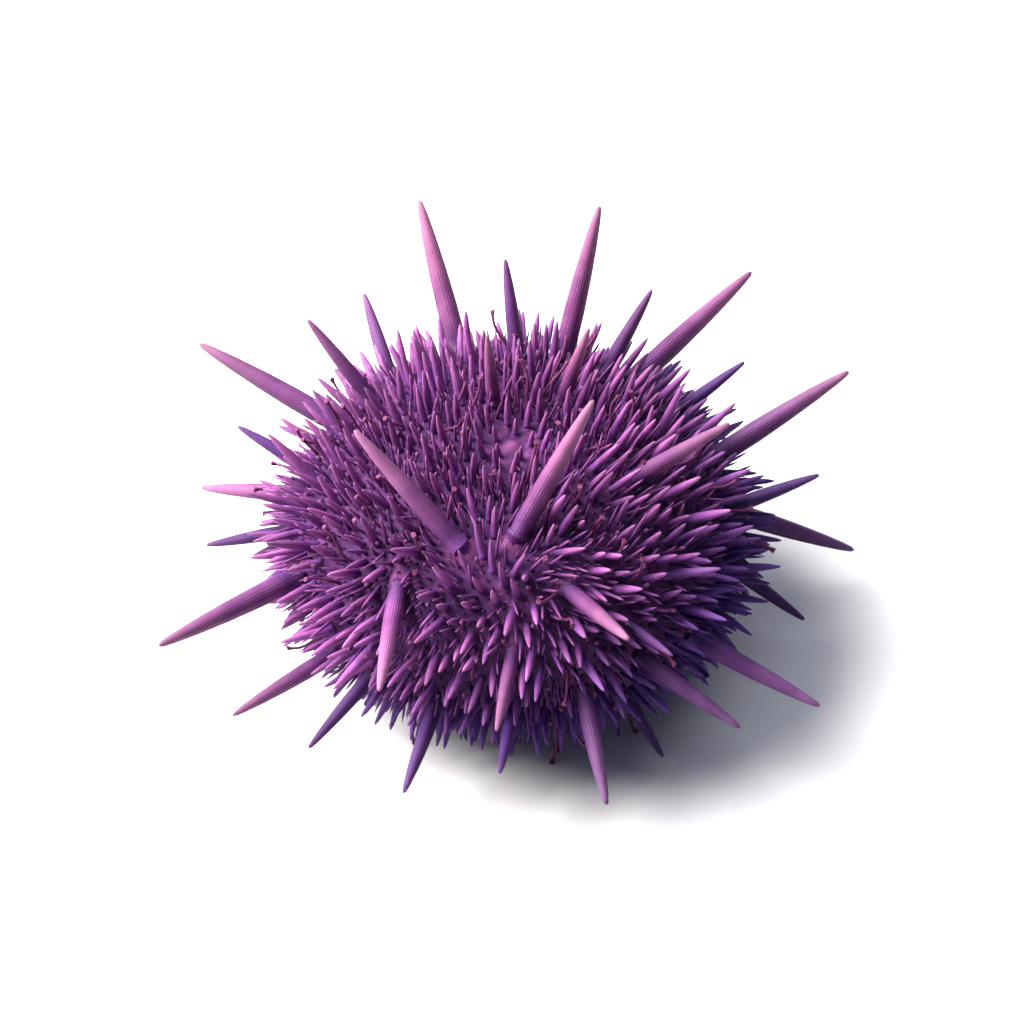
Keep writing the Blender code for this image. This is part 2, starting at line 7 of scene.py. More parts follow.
import bpy
import numpy as np
from mathutils import Matrix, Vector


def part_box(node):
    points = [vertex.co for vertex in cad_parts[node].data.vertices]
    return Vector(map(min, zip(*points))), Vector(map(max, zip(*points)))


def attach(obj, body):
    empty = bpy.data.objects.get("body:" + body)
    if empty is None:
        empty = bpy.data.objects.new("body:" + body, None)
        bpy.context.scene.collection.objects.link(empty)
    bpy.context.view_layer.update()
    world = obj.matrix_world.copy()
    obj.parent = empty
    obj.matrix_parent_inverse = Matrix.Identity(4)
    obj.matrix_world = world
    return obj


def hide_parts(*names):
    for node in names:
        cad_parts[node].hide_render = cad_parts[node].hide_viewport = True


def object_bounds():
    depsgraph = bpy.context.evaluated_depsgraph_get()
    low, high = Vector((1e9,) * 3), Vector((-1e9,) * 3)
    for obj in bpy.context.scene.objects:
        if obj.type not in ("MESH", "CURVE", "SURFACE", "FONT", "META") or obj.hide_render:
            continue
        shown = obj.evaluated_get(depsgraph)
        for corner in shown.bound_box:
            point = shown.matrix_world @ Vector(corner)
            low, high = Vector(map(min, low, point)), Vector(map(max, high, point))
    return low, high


mm = 0.001
upward = np.array((0.0, 0.0, 1.0))

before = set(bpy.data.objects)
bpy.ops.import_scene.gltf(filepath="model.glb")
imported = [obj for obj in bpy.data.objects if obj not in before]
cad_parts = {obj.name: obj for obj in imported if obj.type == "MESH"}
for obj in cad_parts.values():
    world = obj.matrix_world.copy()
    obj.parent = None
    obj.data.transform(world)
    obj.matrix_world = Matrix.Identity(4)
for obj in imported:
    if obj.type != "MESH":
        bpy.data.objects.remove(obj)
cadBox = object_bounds()
mouthLow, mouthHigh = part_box("peristome")
axisSpot = np.array(((mouthLow[0] + mouthHigh[0]) / 2, (mouthLow[1] + mouthHigh[1]) / 2, 0.0))
print("frame loaded, the shell's axis stands at", axisSpot)


# The shell's own form, a dome on a flatter base, with ten double columns of plates
shell = {
    "radius": 27.5 * mm,
    "domeHeight": 16.0 * mm,
    "baseDepth": 11.0 * mm,
    "domeFullness": 2.15,  # 2 would be an ellipse
    "baseFullness": 2.5,
    "widestLevel": 16.5 * mm,
    "discRadius": 5.0 * mm,
    "mouthRadius": 9.5 * mm,
    "plugMeeting": 15.0 * mm,
    "cut": 0.3 * mm,
    "zones": 5,
    "broadWidth": math.radians(42),
    "narrowWidth": math.radians(30),
    "firstBroad": math.radians(-100),
}
crownLevel = shell["widestLevel"] + shell["domeHeight"]


def unit(vectors):
    return vectors / np.linalg.norm(vectors, axis=-1, keepdims=True)


def between(limits, share):
    return limits[0] + (limits[1] - limits[0]) * share


# the level direction away from the axis
def levelWay(azimuth):
    return np.array((math.cos(azimuth), math.sin(azimuth), 0.0))


# the azimuth of one of count places round the shell, counted from the first broad column
def zoneTurn(number, count=shell["zones"]):
    return shell["firstBroad"] + number * math.tau / count


# fullness and height, of the dome above the widest level and of the base below it
def halfShape(above):
    fullness = np.where(above, shell["domeFullness"], shell["baseFullness"])
    return fullness, np.where(above, shell["domeHeight"], shell["baseDepth"])


# distance out = radius * cos(angle) ** (2 / fullness), rise = height * sin(angle) ** (2 / fullness)
def meridian(angle):
    fullness, height = halfShape(angle >= 0)
    out = shell["radius"] * np.clip(np.cos(angle), 0, 1) ** (2 / fullness)
    rise = np.sign(angle) * height * np.abs(np.sin(angle)) ** (2 / fullness)
    return out, shell["widestLevel"] + rise


# how fast (out / radius) ** fullness + (rise / height) ** fullness grows away from the axis and upward
def shellSlope(out, rise):
    fullness, height = halfShape(rise >= 0)
    away = fullness * (out / shell["radius"]) ** (fullness - 1) / shell["radius"]
    lift = fullness * np.sign(rise) * (np.abs(rise) / height) ** (fullness - 1) / height
    return away, lift


# distance outside the shell = (measure - 1) / slope, good close to the surface
def shellDistance(spots):
    out = np.hypot(spots[:, 0], spots[:, 1])
    rise = spots[:, 2] - shell["widestLevel"]
    fullness, height = halfShape(rise >= 0)
    measure = (out / shell["radius"]) ** fullness + (np.abs(rise) / height) ** fullness
    return (measure - 1) / np.hypot(*shellSlope(out, rise))


def meridianTable():
    lowest = -math.acos((shell["mouthRadius"] / shell["radius"]) ** (shell["baseFullness"] / 2))
    highest = math.acos((shell["discRadius"] / shell["radius"]) ** (shell["domeFullness"] / 2))
    angles = np.linspace(lowest, highest, 4001)
    out, level = meridian(angles)
    steps = np.hypot(np.diff(out), np.diff(level))
    way = np.concatenate([[0], np.cumsum(steps)])
    area = np.concatenate([[0], np.cumsum(steps * (out[1:] + out[:-1]))])
    return angles, way / way[-1], area / area[-1]


tableAngles, tableWay, tableArea = meridianTable()


def placeOnShell(angle, azimuth):
    out, level = meridian(angle)
    away, lift = shellSlope(out, level - shell["widestLevel"])
    across = levelWay(azimuth)
    return out * across + level * upward, (away * across + lift * upward) / np.hypot(away, lift)


def doubleColumns():
    made = []
    for zone in range(shell["zones"]):
        made.append((zoneTurn(zone), shell["broadWidth"]))
        made.append((zoneTurn(zone) + math.pi / shell["zones"], shell["narrowWidth"]))
    return made


plateColumns = doubleColumns()

# The picture's view: from the front, looking down
view = {
    "lift": math.radians(45),
    "middle": np.array((0.0, 0.0, shell["widestLevel"])),
    "bodyMiddle": (0.1 * mm, 0.9 * mm),
    "bodyHalves": (34.2 * mm, 28.4 * mm),
}
viewRight = np.array((1.0, 0.0, 0.0))
viewUp = np.array((0.0, math.sin(view["lift"]), math.cos(view["lift"])))
viewOut = np.array((0.0, -math.cos(view["lift"]), math.sin(view["lift"])))

# The long spines of the picture: where each tip shows, as degrees clockwise from the top and millimetres
# from the shell's middle, the way that it points, as degrees clockwise from upwards, and its length
posed = {
    "outer": (
        (53.0, 37.0, 49, 8), (78.5, 39.6, 66, 11), (105.8, 38.8, 130, 11), (145.5, 33.6, 154, 9),
        (183.0, 29.2, 180, 12), (224.0, 36.6, 224, 11), (268.5, 38.9, 262, 10), (292.0, 37.8, 306, 9),
        (316.8, 37.8, 322, 9), (-1.4, 35.4, 0, 8), (29.5, 36.1, 36, 9), (42.1, 46.0, 45, 22),
        (63.8, 47.5, 61, 20), (92.2, 44.0, 101, 20), (118.7, 43.9, 122, 19), (237.5, 41.6, 243, 16),
        (253.0, 46.1, 246, 23), (279.0, 40.6, 276, 17), (301.7, 47.2, 298, 22), (344.6, 45.0, 346, 20),
        (14.8, 43.6, 18, 19), (328.7, 36.7, 342, 14), (129.8, 36.9, 134, 17), (160.5, 35.0, 163, 18),
        (203.0, 34.5, 206, 14),
    ),
    "inner": (
        (304.3, 23.7, 312, 18), (20.2, 28.0, 23, 13), (353.0, 25.5, 0, 12), (62.3, 30.6, 60, 17),
        (104.4, 27.0, 114, 15), (221.0, 25.0, 202, 18), (131.0, 19.0, 132, 17), (30.6, 19.9, 36, 17),
        (184.6, 24.0, 180, 12),
    ),
    "outerWeights": (math.radians(50), 0.5, 3.0),  # steepest lean, weight of lying flat, weight of skew
    "innerWeights": (math.radians(62), 2.5, 3.2),
    "paleLengths": (13.0 * mm, 17.0 * mm),  # outer spines: dark up to the first, pale from the second
    "flatShare": 0.85,
    "flattest": 0.98,
    "mostAdded": 9 * mm,
    "addedWeight": 0.06,
}

# The coat of spines
coat = {
    "seed": 7,
    "rows": 12,
    "fileOffset": 0.25,
    "rowOffset": 0.25,
    "rootRadius": 0.26 * mm,
    "rootGrowth": 0.05,
    "rootDepth": 1.0 * mm,
    "rootMargin": 0.12 * mm,
    "clearance": 0.35 * mm,
    "shortest": 3.6 * mm,
    "tipLevel": 0.5 * mm,
    "facingLengths": (5.5 * mm, 9.0 * mm),
    "sideLengths": (8.5 * mm, 13.0 * mm),
    "farLongLengths": (15.0 * mm, 21.0 * mm),
    "farLongShare": 0.32,
    "crownBand": (0.7, 1.0),
    "crownShare": 0.7,
    "undersideBand": (0.2, 0.8),
    "undersideShare": 0.75,
    "wander": 0.13,
    "combing": 0.85,
    "combingReach": 6.0 * mm,
    "shortenings": (1.0, 0.8, 0.62, 0.48),
    "smallPlaces": 1200,
    "smallLengths": (4.0 * mm, 6.5 * mm),
    "discRings": ((10, 3.9 * mm, 4.2 * mm), (5, 2.3 * mm, 2.6 * mm)),
    "discSpread": 0.3,
}
goldenTurn = math.pi * (3 - math.sqrt(5))

Spine = namedtuple("Spine", "foot way length radius sink column grounded pale", defaults=(None,))


def mainPlaces():
    places = []
    for number, (middle, width) in enumerate(plateColumns):
        for side in (-1, 1):
            for row in range(coat["rows"]):
                way = (row + 0.5 + side * coat["rowOffset"]) / coat["rows"]
                angle = np.interp(way, tableWay, tableAngles)
                azimuth = middle + side * coat["fileOffset"] * width
                places.append((*placeOnShell(angle, azimuth), number))
    return places


# places along a spiral: the same area of shell for each, turned by the golden angle
def spiralPlaces(count, start=0.0):
    places = []
    for k in range(count):
        angle = np.interp((k + 0.5) / count, tableArea, tableAngles)
        azimuth = start + k * goldenTurn
        turns = [abs(math.remainder(azimuth - middle, math.tau)) / width for middle, width in plateColumns]
        places.append((*placeOnShell(angle, azimuth), int(np.argmin(turns))))
    return places


# radius = base + growth * length, and the root goes deeper the more the spine leans
def spineRoot(normal, way, length):
    radius = coat["rootRadius"] + coat["rootGrowth"] * length
    upright = way @ normal
    return radius, (coat["rootDepth"] + radius * math.sqrt(1 - min(upright**2, 1))) / upright


# distance to a side cut = distance out * sin(half width - turn from the column's middle)
def sideDistance(spots, column):
    middle, width = plateColumns[column]
    turn = np.arctan2(spots[:, 1], spots[:, 0]) - middle
    turn = np.abs((turn + math.pi) % math.tau - math.pi)
    inside = np.sin(np.clip(width / 2 - turn, -math.pi / 2, math.pi / 2))
    return np.hypot(spots[:, 0], spots[:, 1]) * inside - shell["cut"] / 2


# whether a spine keeps clear of its column's cuts, taken as thinning by a third towards its tip
def fitsColumn(spine):
    shares = np.linspace(0, 1, 14)
    above = spine.foot + np.outer(shares * spine.length, spine.way)
    below = spine.foot - np.outer(shares * spine.sink, spine.way)
    plug = np.where(below[:, 2] > shell["plugMeeting"], shell["discRadius"], shell["mouthRadius"])
    walls = np.minimum(sideDistance(below, spine.column), np.hypot(below[:, 0], below[:, 1]) - plug)
    if walls.min() < spine.radius + coat["rootMargin"]:
        return False
    room = np.minimum(sideDistance(above, spine.column), np.hypot(above[:, 0], above[:, 1]) - plug[0])
    thickness = spine.radius * (1 - shares / 3) + coat["clearance"]
    low = shellDistance(above) < thickness
    return not np.any(low & (room < thickness))


class Coat:
    def __init__(self):
        self.spines = []
        self.feet = np.zeros((0, 3))
        self.reaches = np.zeros((0, 3))
        self.radii = np.zeros(0)

    def add(self, spine):
        self.spines.append(spine)
        self.feet = np.vstack([self.feet, spine.foot])
        self.reaches = np.vstack([self.reaches, spine.way * spine.length])
        self.radii = np.append(self.radii, spine.radius)

    # closest spots of two middle lines: shares of the way where the line between them is square to both
    def hasRoom(self, spine, clearance):
        reach = spine.way * spine.length
        gap = spine.foot - self.feet
        own = reach @ reach
        theirs = np.einsum("ij,ij->i", self.reaches, self.reaches)
        along = self.reaches @ reach
        towards = gap @ reach
        back = np.einsum("ij,ij->i", self.reaches, gap)
        spread = np.maximum(own * theirs - along * along, 1e-18)
        share = np.clip((along * back - towards * theirs) / spread, 0, 1)
        other = np.clip((along * share + back) / theirs, 0, 1)
        share = np.clip((along * other - towards) / own, 0, 1)
        apart = np.linalg.norm(gap + np.outer(share, reach) - other[:, None] * self.reaches, axis=1)
        needed = spine.radius * (1 - share / 3) + self.radii * (1 - other / 3) + clearance
        return bool(np.all(apart > needed))

    def tryAdd(self, foot, normal, way, length, column):
        grounded = foot[2] + way[2] * length < coat["tipLevel"]
        if grounded:
            length = foot[2] / -way[2]
        spine = Spine(foot, way, length, *spineRoot(normal, way, length), column, grounded)
        if length < coat["shortest"] or not fitsColumn(spine):
            return False
        if not self.hasRoom(spine, coat["clearance"]):
            return False
        self.add(spine)
        return True


# the direction that shows in the picture at this many degrees clockwise from upwards
def acrossView(clock):
    turn = math.radians(clock)
    return math.sin(turn) * viewRight + math.cos(turn) * viewUp


# ways to hold a tip where the picture has it, from each free place, the best first
def posedChoices(spine, steepest, flatWeight, skewWeight, places, taken):
    clock, reach, pointing, length = spine
    goal = view["middle"] + reach * mm * acrossView(clock)
    choices = []
    for number, (foot, normal, _) in enumerate(places):
        if number in taken:
            continue
        across = goal - foot
        across = across - (across @ viewOut) * viewOut
        flat = np.linalg.norm(across)
        size = max(length * mm, flat / posed["flattest"])
        if size > length * mm + posed["mostAdded"]:
            continue
        depth = math.sqrt(size**2 - flat**2)
        skew = math.acos(np.clip(across @ acrossView(pointing) / max(flat, 1e-9), -1, 1))
        for sign in (-1, 1):
            way = (across + sign * depth * viewOut) / size
            tilt = math.acos(np.clip(way @ normal, -1, 1))
            if tilt > steepest or foot[2] + way[2] * size < coat["tipLevel"]:
                continue
            cost = tilt + skewWeight * skew + posed["addedWeight"] * (size - length * mm) / mm
            cost += flatWeight * max(0, posed["flatShare"] - flat / size)
            choices.append((cost, number, way, size))
    return sorted(choices, key=lambda choice: choice[0])


# where a ray leaves the body's outline, the ellipse (x / half width) ** 2 + (y / half height) ** 2 = 1
def bodyLength(foot, way):
    start = foot - view["middle"]
    spot = np.array((start @ viewRight, start @ viewUp)) - view["bodyMiddle"]
    spot, step = spot / view["bodyHalves"], np.array((way @ viewRight, way @ viewUp)) / view["bodyHalves"]
    a, b, c = step @ step, spot @ step, spot @ spot - 1
    return (math.sqrt(max(b * b - a * c, 0)) - b) / a


# the shell's own direction, plus the lean of each posed spine times exp(-(distance / reach) ** 2)
def combed(foot, normal, leaders, wander):
    way = normal + wander
    for spine, upright in leaders:
        near = math.exp(-((np.linalg.norm(foot - spine.foot) / coat["combingReach"]) ** 2))
        way = way + coat["combing"] * near * (spine.way - (spine.way @ upright) * upright)
    return way / np.linalg.norm(way)


# the coat is shorter where it faces the viewer, towards the crown and underneath
def coatLength(normal, chances):
    facing = max(normal @ viewOut, 0)
    limits = np.multiply(coat["sideLengths"], 1 - facing) + np.multiply(coat["facingLengths"], facing)
    if facing == 0 and chances[1] < coat["farLongShare"]:
        limits = coat["farLongLengths"]
    crown = np.interp(normal[2], coat["crownBand"], (1, coat["crownShare"]))
    underside = np.interp(-normal[2], coat["undersideBand"], (1, coat["undersideShare"]))
    return between(limits, chances[0]) * crown * underside


def discSpines():
    spines = []
    for count, out, length in coat["discRings"]:
        for k in range(count):
            across = levelWay(zoneTurn(k + 0.5, count))
            way = upward + coat["discSpread"] * out / shell["discRadius"] * across
            way = way / np.linalg.norm(way)
            foot = out * across + crownLevel * upward
            spines.append(Spine(foot, way, length, *spineRoot(upward, way, length), None, False))
    return spines


def growCoat():
    rng = np.random.default_rng(coat["seed"])
    grown = Coat()
    for spine in discSpines():
        grown.add(spine)
    crowned = len(grown.spines)
    places = mainPlaces()
    taken = set()
    leaders = []
    wanted = [(spine, *posed["outerWeights"]) for spine in posed["outer"]]
    wanted += [(spine, *posed["innerWeights"]) for spine in posed["inner"]]
    for count, aim in enumerate(wanted):
        for _, number, way, size in posedChoices(*aim, places, taken):
            foot, normal, column = places[number]
            if grown.tryAdd(foot, normal, way, size, column):
                pale = np.interp(size, posed["paleLengths"], (0, 1)) if count < len(posed["outer"]) else 1.0
                grown.spines[-1] = grown.spines[-1]._replace(pale=pale)
                taken.add(number)
                leaders.append((grown.spines[-1], normal))
                break
    chances = rng.random((len(places), 2))
    wanders = rng.normal(0, coat["wander"], (len(places), 3))
    for number, (foot, normal, column) in enumerate(places):
        if number in taken:
            continue
        length = coatLength(normal, chances[number])
        for share in coat["shortenings"]:
            way = combed(foot, normal, leaders, wanders[number])
            if grown.tryAdd(foot, normal, way, min(length * share, bodyLength(foot, way)), column):
                break
    mains = len(grown.spines)
    places = spiralPlaces(coat["smallPlaces"])
    chances = rng.random(len(places))
    wanders = rng.normal(0, coat["wander"], (len(places), 3))
    for number, (foot, normal, column) in enumerate(places):
        way = combed(foot, normal, leaders, wanders[number])
        length = min(between(coat["smallLengths"], chances[number]), bodyLength(foot, way))
        grown.tryAdd(foot, normal, way, length, column)
    return grown, leaders, crowned, mains


grown, leaders, crowned, mains = growCoat()
print("coat laid out:", len(leaders), "posed,", mains - crowned - len(leaders), "other main,",
      len(grown.spines) - mains, "small")


# The render's own finer growth between them: tube feet, small pincers, thin spines and hair-fine ones
finer = {
    "seed": 21,
    "tubeRows": 17,
    "tubeOffset": 0.36,
    "tubeStart": 0.3,  # a foot stands at this share of its row, plus up to the stray
    "tubeStray": 0.4,
    "tubeWander": 0.28,
    "tubeSplay": 0.25,
    "tubeLengths": (4.0 * mm, 8.0 * mm),
    "tubeLeast": 0.7,
    "tubeReach": 0.92,  # share of the way to the body's outline
    "tubeRadius": 0.24 * mm,
    "tubeBend": 1.1 * mm,
    "tubeSway": 0.3 * mm,
    "holdLevel": 9.5 * mm,
    "holdShare": 0.7,
    "holdLean": 0.55,
    "holdPull": 1.2,
    "mouthOut": 6.3 * mm,
    "mouthLevel": 6.7 * mm,
    "mouthLength": 3.3 * mm,
    "mouthRadius": 0.36 * mm,
    "mouthSplay": 0.25,
    "mouthPair": 0.2,
    # places on a spiral and where it starts, lengths and radii
    "pincers": (420, 2.6, (1.8 * mm, 3.2 * mm), (0.13 * mm, 0.13 * mm)),
    "thin": (3400, 0.7, (2.6 * mm, 5.4 * mm), (0.17 * mm, 0.28 * mm)),
    "fine": (5200, 1.9, (1.1 * mm, 2.3 * mm), (0.09 * mm, 0.14 * mm)),
    "wander": 0.2,
    "reach": 0.95,
    "clearance": 0.06 * mm,
}


def tooShort(foot, way, length, least):
    return foot[2] + way[2] * length < coat["tipLevel"] or length < least


# two files of feet along each narrow column. The lowest reach down and hold on to the floor
def growTubeFeet(rng):
    first = len(grown.spines)
    for number, (middle, width) in list(enumerate(plateColumns))[1::2]:
        for side in (-1, 1):
            azimuth = middle + side * finer["tubeOffset"] * width
            splay = side * finer["tubeSplay"] * np.cross(upward, levelWay(azimuth))
            for row in range(finer["tubeRows"]):
                way = (row + finer["tubeStart"] + finer["tubeStray"] * rng.random()) / finer["tubeRows"]
                foot, normal = placeOnShell(np.interp(way, tableWay, tableAngles), azimuth)
                chance, wander = rng.random(), rng.normal(0, finer["tubeWander"], 3)
                lean = normal + wander + splay
                holds = foot[2] < finer["holdLevel"] and chance < finer["holdShare"]
                lean = unit(finer["holdLean"] * lean - finer["holdPull"] * upward if holds else lean)
                room = finer["tubeReach"] * bodyLength(foot, lean)
                length = min(between(finer["tubeLengths"], chance), room)
                if holds:
                    length = foot[2] / -lean[2]
                elif tooShort(foot, lean, length, finer["tubeLeast"] * finer["tubeLengths"][0]):
                    continue
                rod = Spine(foot, lean, length, finer["tubeRadius"], 0, number, holds)
                if grown.hasRoom(rod, 0):
                    grown.add(rod)
    return grown.spines[first:]


def growLayer(count, start, lengths, radii, rng):
    first = len(grown.spines)
    places = spiralPlaces(count, start)
    chances = rng.random(len(places))
    wanders = rng.normal(0, finer["wander"], (len(places), 3))
    for (foot, normal, column), chance, wander in zip(places, chances, wanders):
        way = combed(foot, normal, leaders, wander)
        length = min(between(lengths, chance), finer["reach"] * bodyLength(foot, way))
        if tooShort(foot, way, length, lengths[0]):
            continue
        rod = Spine(foot, way, length, between(radii, chance), 0, column, False)
        if grown.hasRoom(rod, finer["clearance"]):
            grown.add(rod)
    return grown.spines[first:]


coatSpines = list(grown.spines)
rng = np.random.default_rng(finer["seed"])
tubeFeet = growTubeFeet(rng)
pincers, thinSpines, fineSpines = [growLayer(*finer[layer], rng) for layer in ("pincers", "thin", "fine")]
print("finer growth:", len(tubeFeet), "tube feet,", len(pincers), "pincers,", len(thinSpines), "thin and",
      len(fineSpines), "hair-fine spines")


# Meshes and their maps

def addObject(name, data):
    obj = bpy.data.objects.new(name, data)
    bpy.context.scene.collection.objects.link(obj)
    return obj


# faces are the quads and then the triangles, and each map has the corners of both
def meshObject(name, points, faces, finish, maps=None, tints=None):
    mesh = bpy.data.meshes.new(name)
    points = np.clip(points + axisSpot, *cadBox)  # blunt tips would pass the solids' box by a hair
    mesh.from_pydata(points.tolist(), [], faces[0].tolist() + faces[1].tolist())
    for mapName, corners in (maps or {}).items():
        flat = np.concatenate([corners[0].reshape(-1), corners[1].reshape(-1)])
        mesh.uv_layers.new(name=mapName).data.foreach_set("uv", flat.astype(np.float32))
    if tints is not None:
        mesh.attributes.new("tint", "FLOAT", "POINT").data.foreach_set("value", tints.astype(np.float32))
    mesh.materials.append(finish)
    mesh.shade_smooth()
    mesh.validate()
    return addObject(name, mesh)


# a closed surface of rings: quads between them, and a fan over the first and last ring, whose middles are
# the two points after the rings' own
def ringFaces(rings, sides):
    k = np.arange(sides)
    n = (k + 1) % sides
    ring = np.arange(rings - 1)[:, None] * sides
    last, count = (rings - 1) * sides, rings * sides
    quads = np.stack([ring + k, ring + n, ring + sides + n, ring + sides + k], axis=-1).reshape(-1, 4)
    firstFan = np.stack([n, k, np.full(sides, count)], axis=-1)
    lastFan = np.stack([last + k, last + n, np.full(sides, count + 1)], axis=-1)
    return quads, np.concatenate([firstFan, lastFan])


# the corners of those faces on a map: the turn across, from 0 to 1, and up it where each ring lies. A row of
# levels is one surface, and its middles lie at 0 and 1
def ringCorners(levels, sides):
    count, rings = levels.shape
    k = np.arange(sides)
    quads = np.empty((count, rings - 1, sides, 4, 2))
    quads[..., 0] = np.stack([k, k + 1, k + 1, k], axis=-1) / sides
    quads[..., :2, 1] = levels[:, :-1, None, None]
    quads[..., 2:, 1] = levels[:, 1:, None, None]
    fans = np.empty((count, 2, sides, 3, 2))
    fans[:, 0, ..., 0] = np.stack([k + 1, k, k + 0.5], axis=-1) / sides
    fans[:, 1, ..., 0] = np.stack([k, k + 1, k + 0.5], axis=-1) / sides
    fans[..., :2, 1] = levels[:, [0, -1], None, None]
    fans[..., 2, 1] = ((0,), (1,))
    return quads, fans


def fullTurn(sides):
    return np.arange(sides) * math.tau / sides


def levelWays(azimuths):
    return np.stack([np.cos(azimuths), np.sin(azimuths), 0 * azimuths], axis=1)


# the way along a line of points, from 0 to its whole length
def wayAlong(points):
    return np.concatenate([[0], np.cumsum(np.hypot(*np.diff(points, axis=0).T))])


# Every rod has two maps: spineUV, its own, and OFBake, a small patch at its root's place on the skin
rodMap = {
    "seed": 3,
    "meridianSteps": 2001,
    "margin": 0.01,
    "rootShare": 0.04,  # share of its own map that its root's fan takes
    "ownTint": 0.04,  # how much of a posed spine's tint is chance
    "floorLevel": 0.001 * mm,  # a face that is no higher than this rests on the floor
}


# where a root lies on the unwrapped skin: its azimuth across and its way up the meridian
def rootPlaces(feet):
    out, level = meridian(np.linspace(-math.pi / 2, math.pi / 2, rodMap["meridianSteps"]))
    way = wayAlong(np.stack([out, level], axis=1))
    rise = np.clip(feet[:, 2], level[0], level[-1])
    across = (np.arctan2(feet[:, 1], feet[:, 0]) / math.tau) % 1
    inner = 1 - 2 * rodMap["margin"]
    return rodMap["margin"] + inner * np.stack([across, np.interp(rise, level, way / way[-1])], axis=1)


# Rods: a point of a ring = foot + distance * way + width * radius * (cos(turn) * across + sin(turn) * other)
# + bend * (distance / length) ** 2 + sway * sin(tau * distance / length),
# where distance = lift * radius + share * (length - highest lift * radius).
# A profile has one (lift, share, width) for each ring, and ribs swell the radius by depth * cos(ribs * turn)
def rodsObject(name, rods, profile, sides, patch, finish, ribs=0, ribDepth=0.0, bends=0.0, sways=0.0):
    rng = np.random.default_rng(rodMap["seed"])
    feet, ways, lengths, radii = (np.array(values) for values in list(zip(*rods))[:4])
    count, rings = len(rods), len(profile)
    lift, share, width = np.array(profile).T
    distance = lift * radii[:, None] + share * (lengths - lift.max() * radii)[:, None]
    across = unit(np.cross(ways, np.where(np.abs(ways[:, :1]) < 0.8, viewRight, upward)))
    other = np.cross(ways, across)
    turn = fullTurn(sides)
    turned = turn + rng.random((count, 1)) * math.tau
    edge = np.cos(turned)[..., None] * across[:, None] + np.sin(turned)[..., None] * other[:, None]
    bends, sways = (np.broadcast_to(values, (count, 3)) for values in (bends, sways))
    reached = (distance / lengths[:, None])[..., None]
    middles = feet[:, None] + distance[..., None] * ways[:, None]
    middles = middles + reached**2 * bends[:, None] + np.sin(math.tau * reached) * sways[:, None]
    depth = ribDepth * np.clip(width, 0, 1)
    wide = width[:, None] * (1 + depth[:, None] * np.cos(ribs * turn))
    points = middles[:, :, None] + (radii[:, None, None] * wide)[..., None] * edge[:, None]
    tips = feet + lengths[:, None] * ways + bends
    points = np.concatenate([points.reshape(count, -1, 3), middles[:, :1], tips[:, None]], axis=1)
    points[..., 2] = np.maximum(points[..., 2], 0)

    size = rings * sides + 2
    start = np.arange(count)[:, None, None] * size
    quads, fans = ringFaces(rings, sides)
    faces = (start + quads).reshape(-1, 4), (start + fans).reshape(-1, 3)
    low = distance[:, :1]
    levels = rodMap["rootShare"] + (1 - rodMap["rootShare"]) * (distance - low) / (lengths[:, None] - low)
    corners = ringCorners(levels, sides)
    place = rootPlaces(feet)[:, None, None, None]
    maps = {"spineUV": corners, "OFBake": [place + (kind - 0.5) * patch for kind in corners]}
    chances = rng.random(count)
    pale = np.array([np.nan if rod.pale is None else rod.pale for rod in rods])
    posedTints = (1 - rodMap["ownTint"]) * pale + rodMap["ownTint"] * chances
    tints = np.repeat(np.where(np.isnan(pale), chances, posedTints), size)
    piece = meshObject(name, points.reshape(-1, 3), faces, finish, maps, tints)
    for face in piece.data.polygons:  # a flat that rests on the floor isn't smoothed into its sides
        top = max(piece.data.vertices[k].co.z for k in face.vertices)
        face.use_smooth = top > rodMap["floorLevel"]
    return piece


# Shader nodes. What goes into a socket is a number, a colour or another node's output
class Nodes:
    def __init__(self, tree):
        self.tree = tree

    def add(self, kind, **values):
        made = self.tree.nodes.new("ShaderNode" + kind)
        for key, value in values.items():
            setattr(made, key, value)
        return made

    def feed(self, made, values):
        for key, value in values.items():
            if isinstance(value, bpy.types.NodeSocket):
                self.tree.links.new(value, made.inputs[key])
            else:
                made.inputs[key].default_value = (*value, 1) if isinstance(value, tuple) else value
        return made

    def math(self, operation, first, second=0.0):
        return self.feed(self.add("Math", operation=operation), {0: first, 1: second}).outputs[0]

    def plus(self, first, second):
        return self.math("ADD", first, second)

    def minus(self, first, second):
        return self.math("SUBTRACT", first, second)

    def times(self, first, second):
        return self.math("MULTIPLY", first, second)

    def split(self, vector):
        return self.feed(self.add("SeparateXYZ"), {0: vector}).outputs

    def noise(self, vector, scale, detail=2.0):
        values = {"Vector": vector, "Scale": scale, "Detail": detail}
        return self.feed(self.add("TexNoise"), values).outputs[0]

    # 0 where the value is start, and top where it is end
    def rising(self, value, start, end, top=1.0, kind="LINEAR"):
        made = self.add("MapRange", interpolation_type=kind)
        return self.feed(made, {0: value, "From Min": start, "From Max": end, "To Max": top}).outputs[0]

    def blend(self, share, first, second, mode="MIX"):
        made = self.add("Mix", data_type="RGBA", blend_type=mode)
        return self.feed(made, {"Factor": share, 6: first, 7: second}).outputs[2]

    def ramp(self, share, stops, colours):
        made = self.feed(self.add("ValToRGB"), {0: share})
        made.color_ramp.interpolation = "EASE"
        while len(made.color_ramp.elements) < len(stops):
            made.color_ramp.elements.new(0.5)
        for element, position, colour in zip(made.color_ramp.elements, stops, colours):
            element.position = position
            element.color = (*colour, 1)
        return made.outputs[0]

    def group(self, tree, **values):
        return self.feed(self.add("Group", node_tree=tree), values).outputs

    def mixShaders(self, share, first, second, output):
        made = self.feed(self.add("MixShader"), {0: share, 1: first, 2: second})
        self.feed(self.tree.nodes[output], {"Surface": made.outputs[0]})


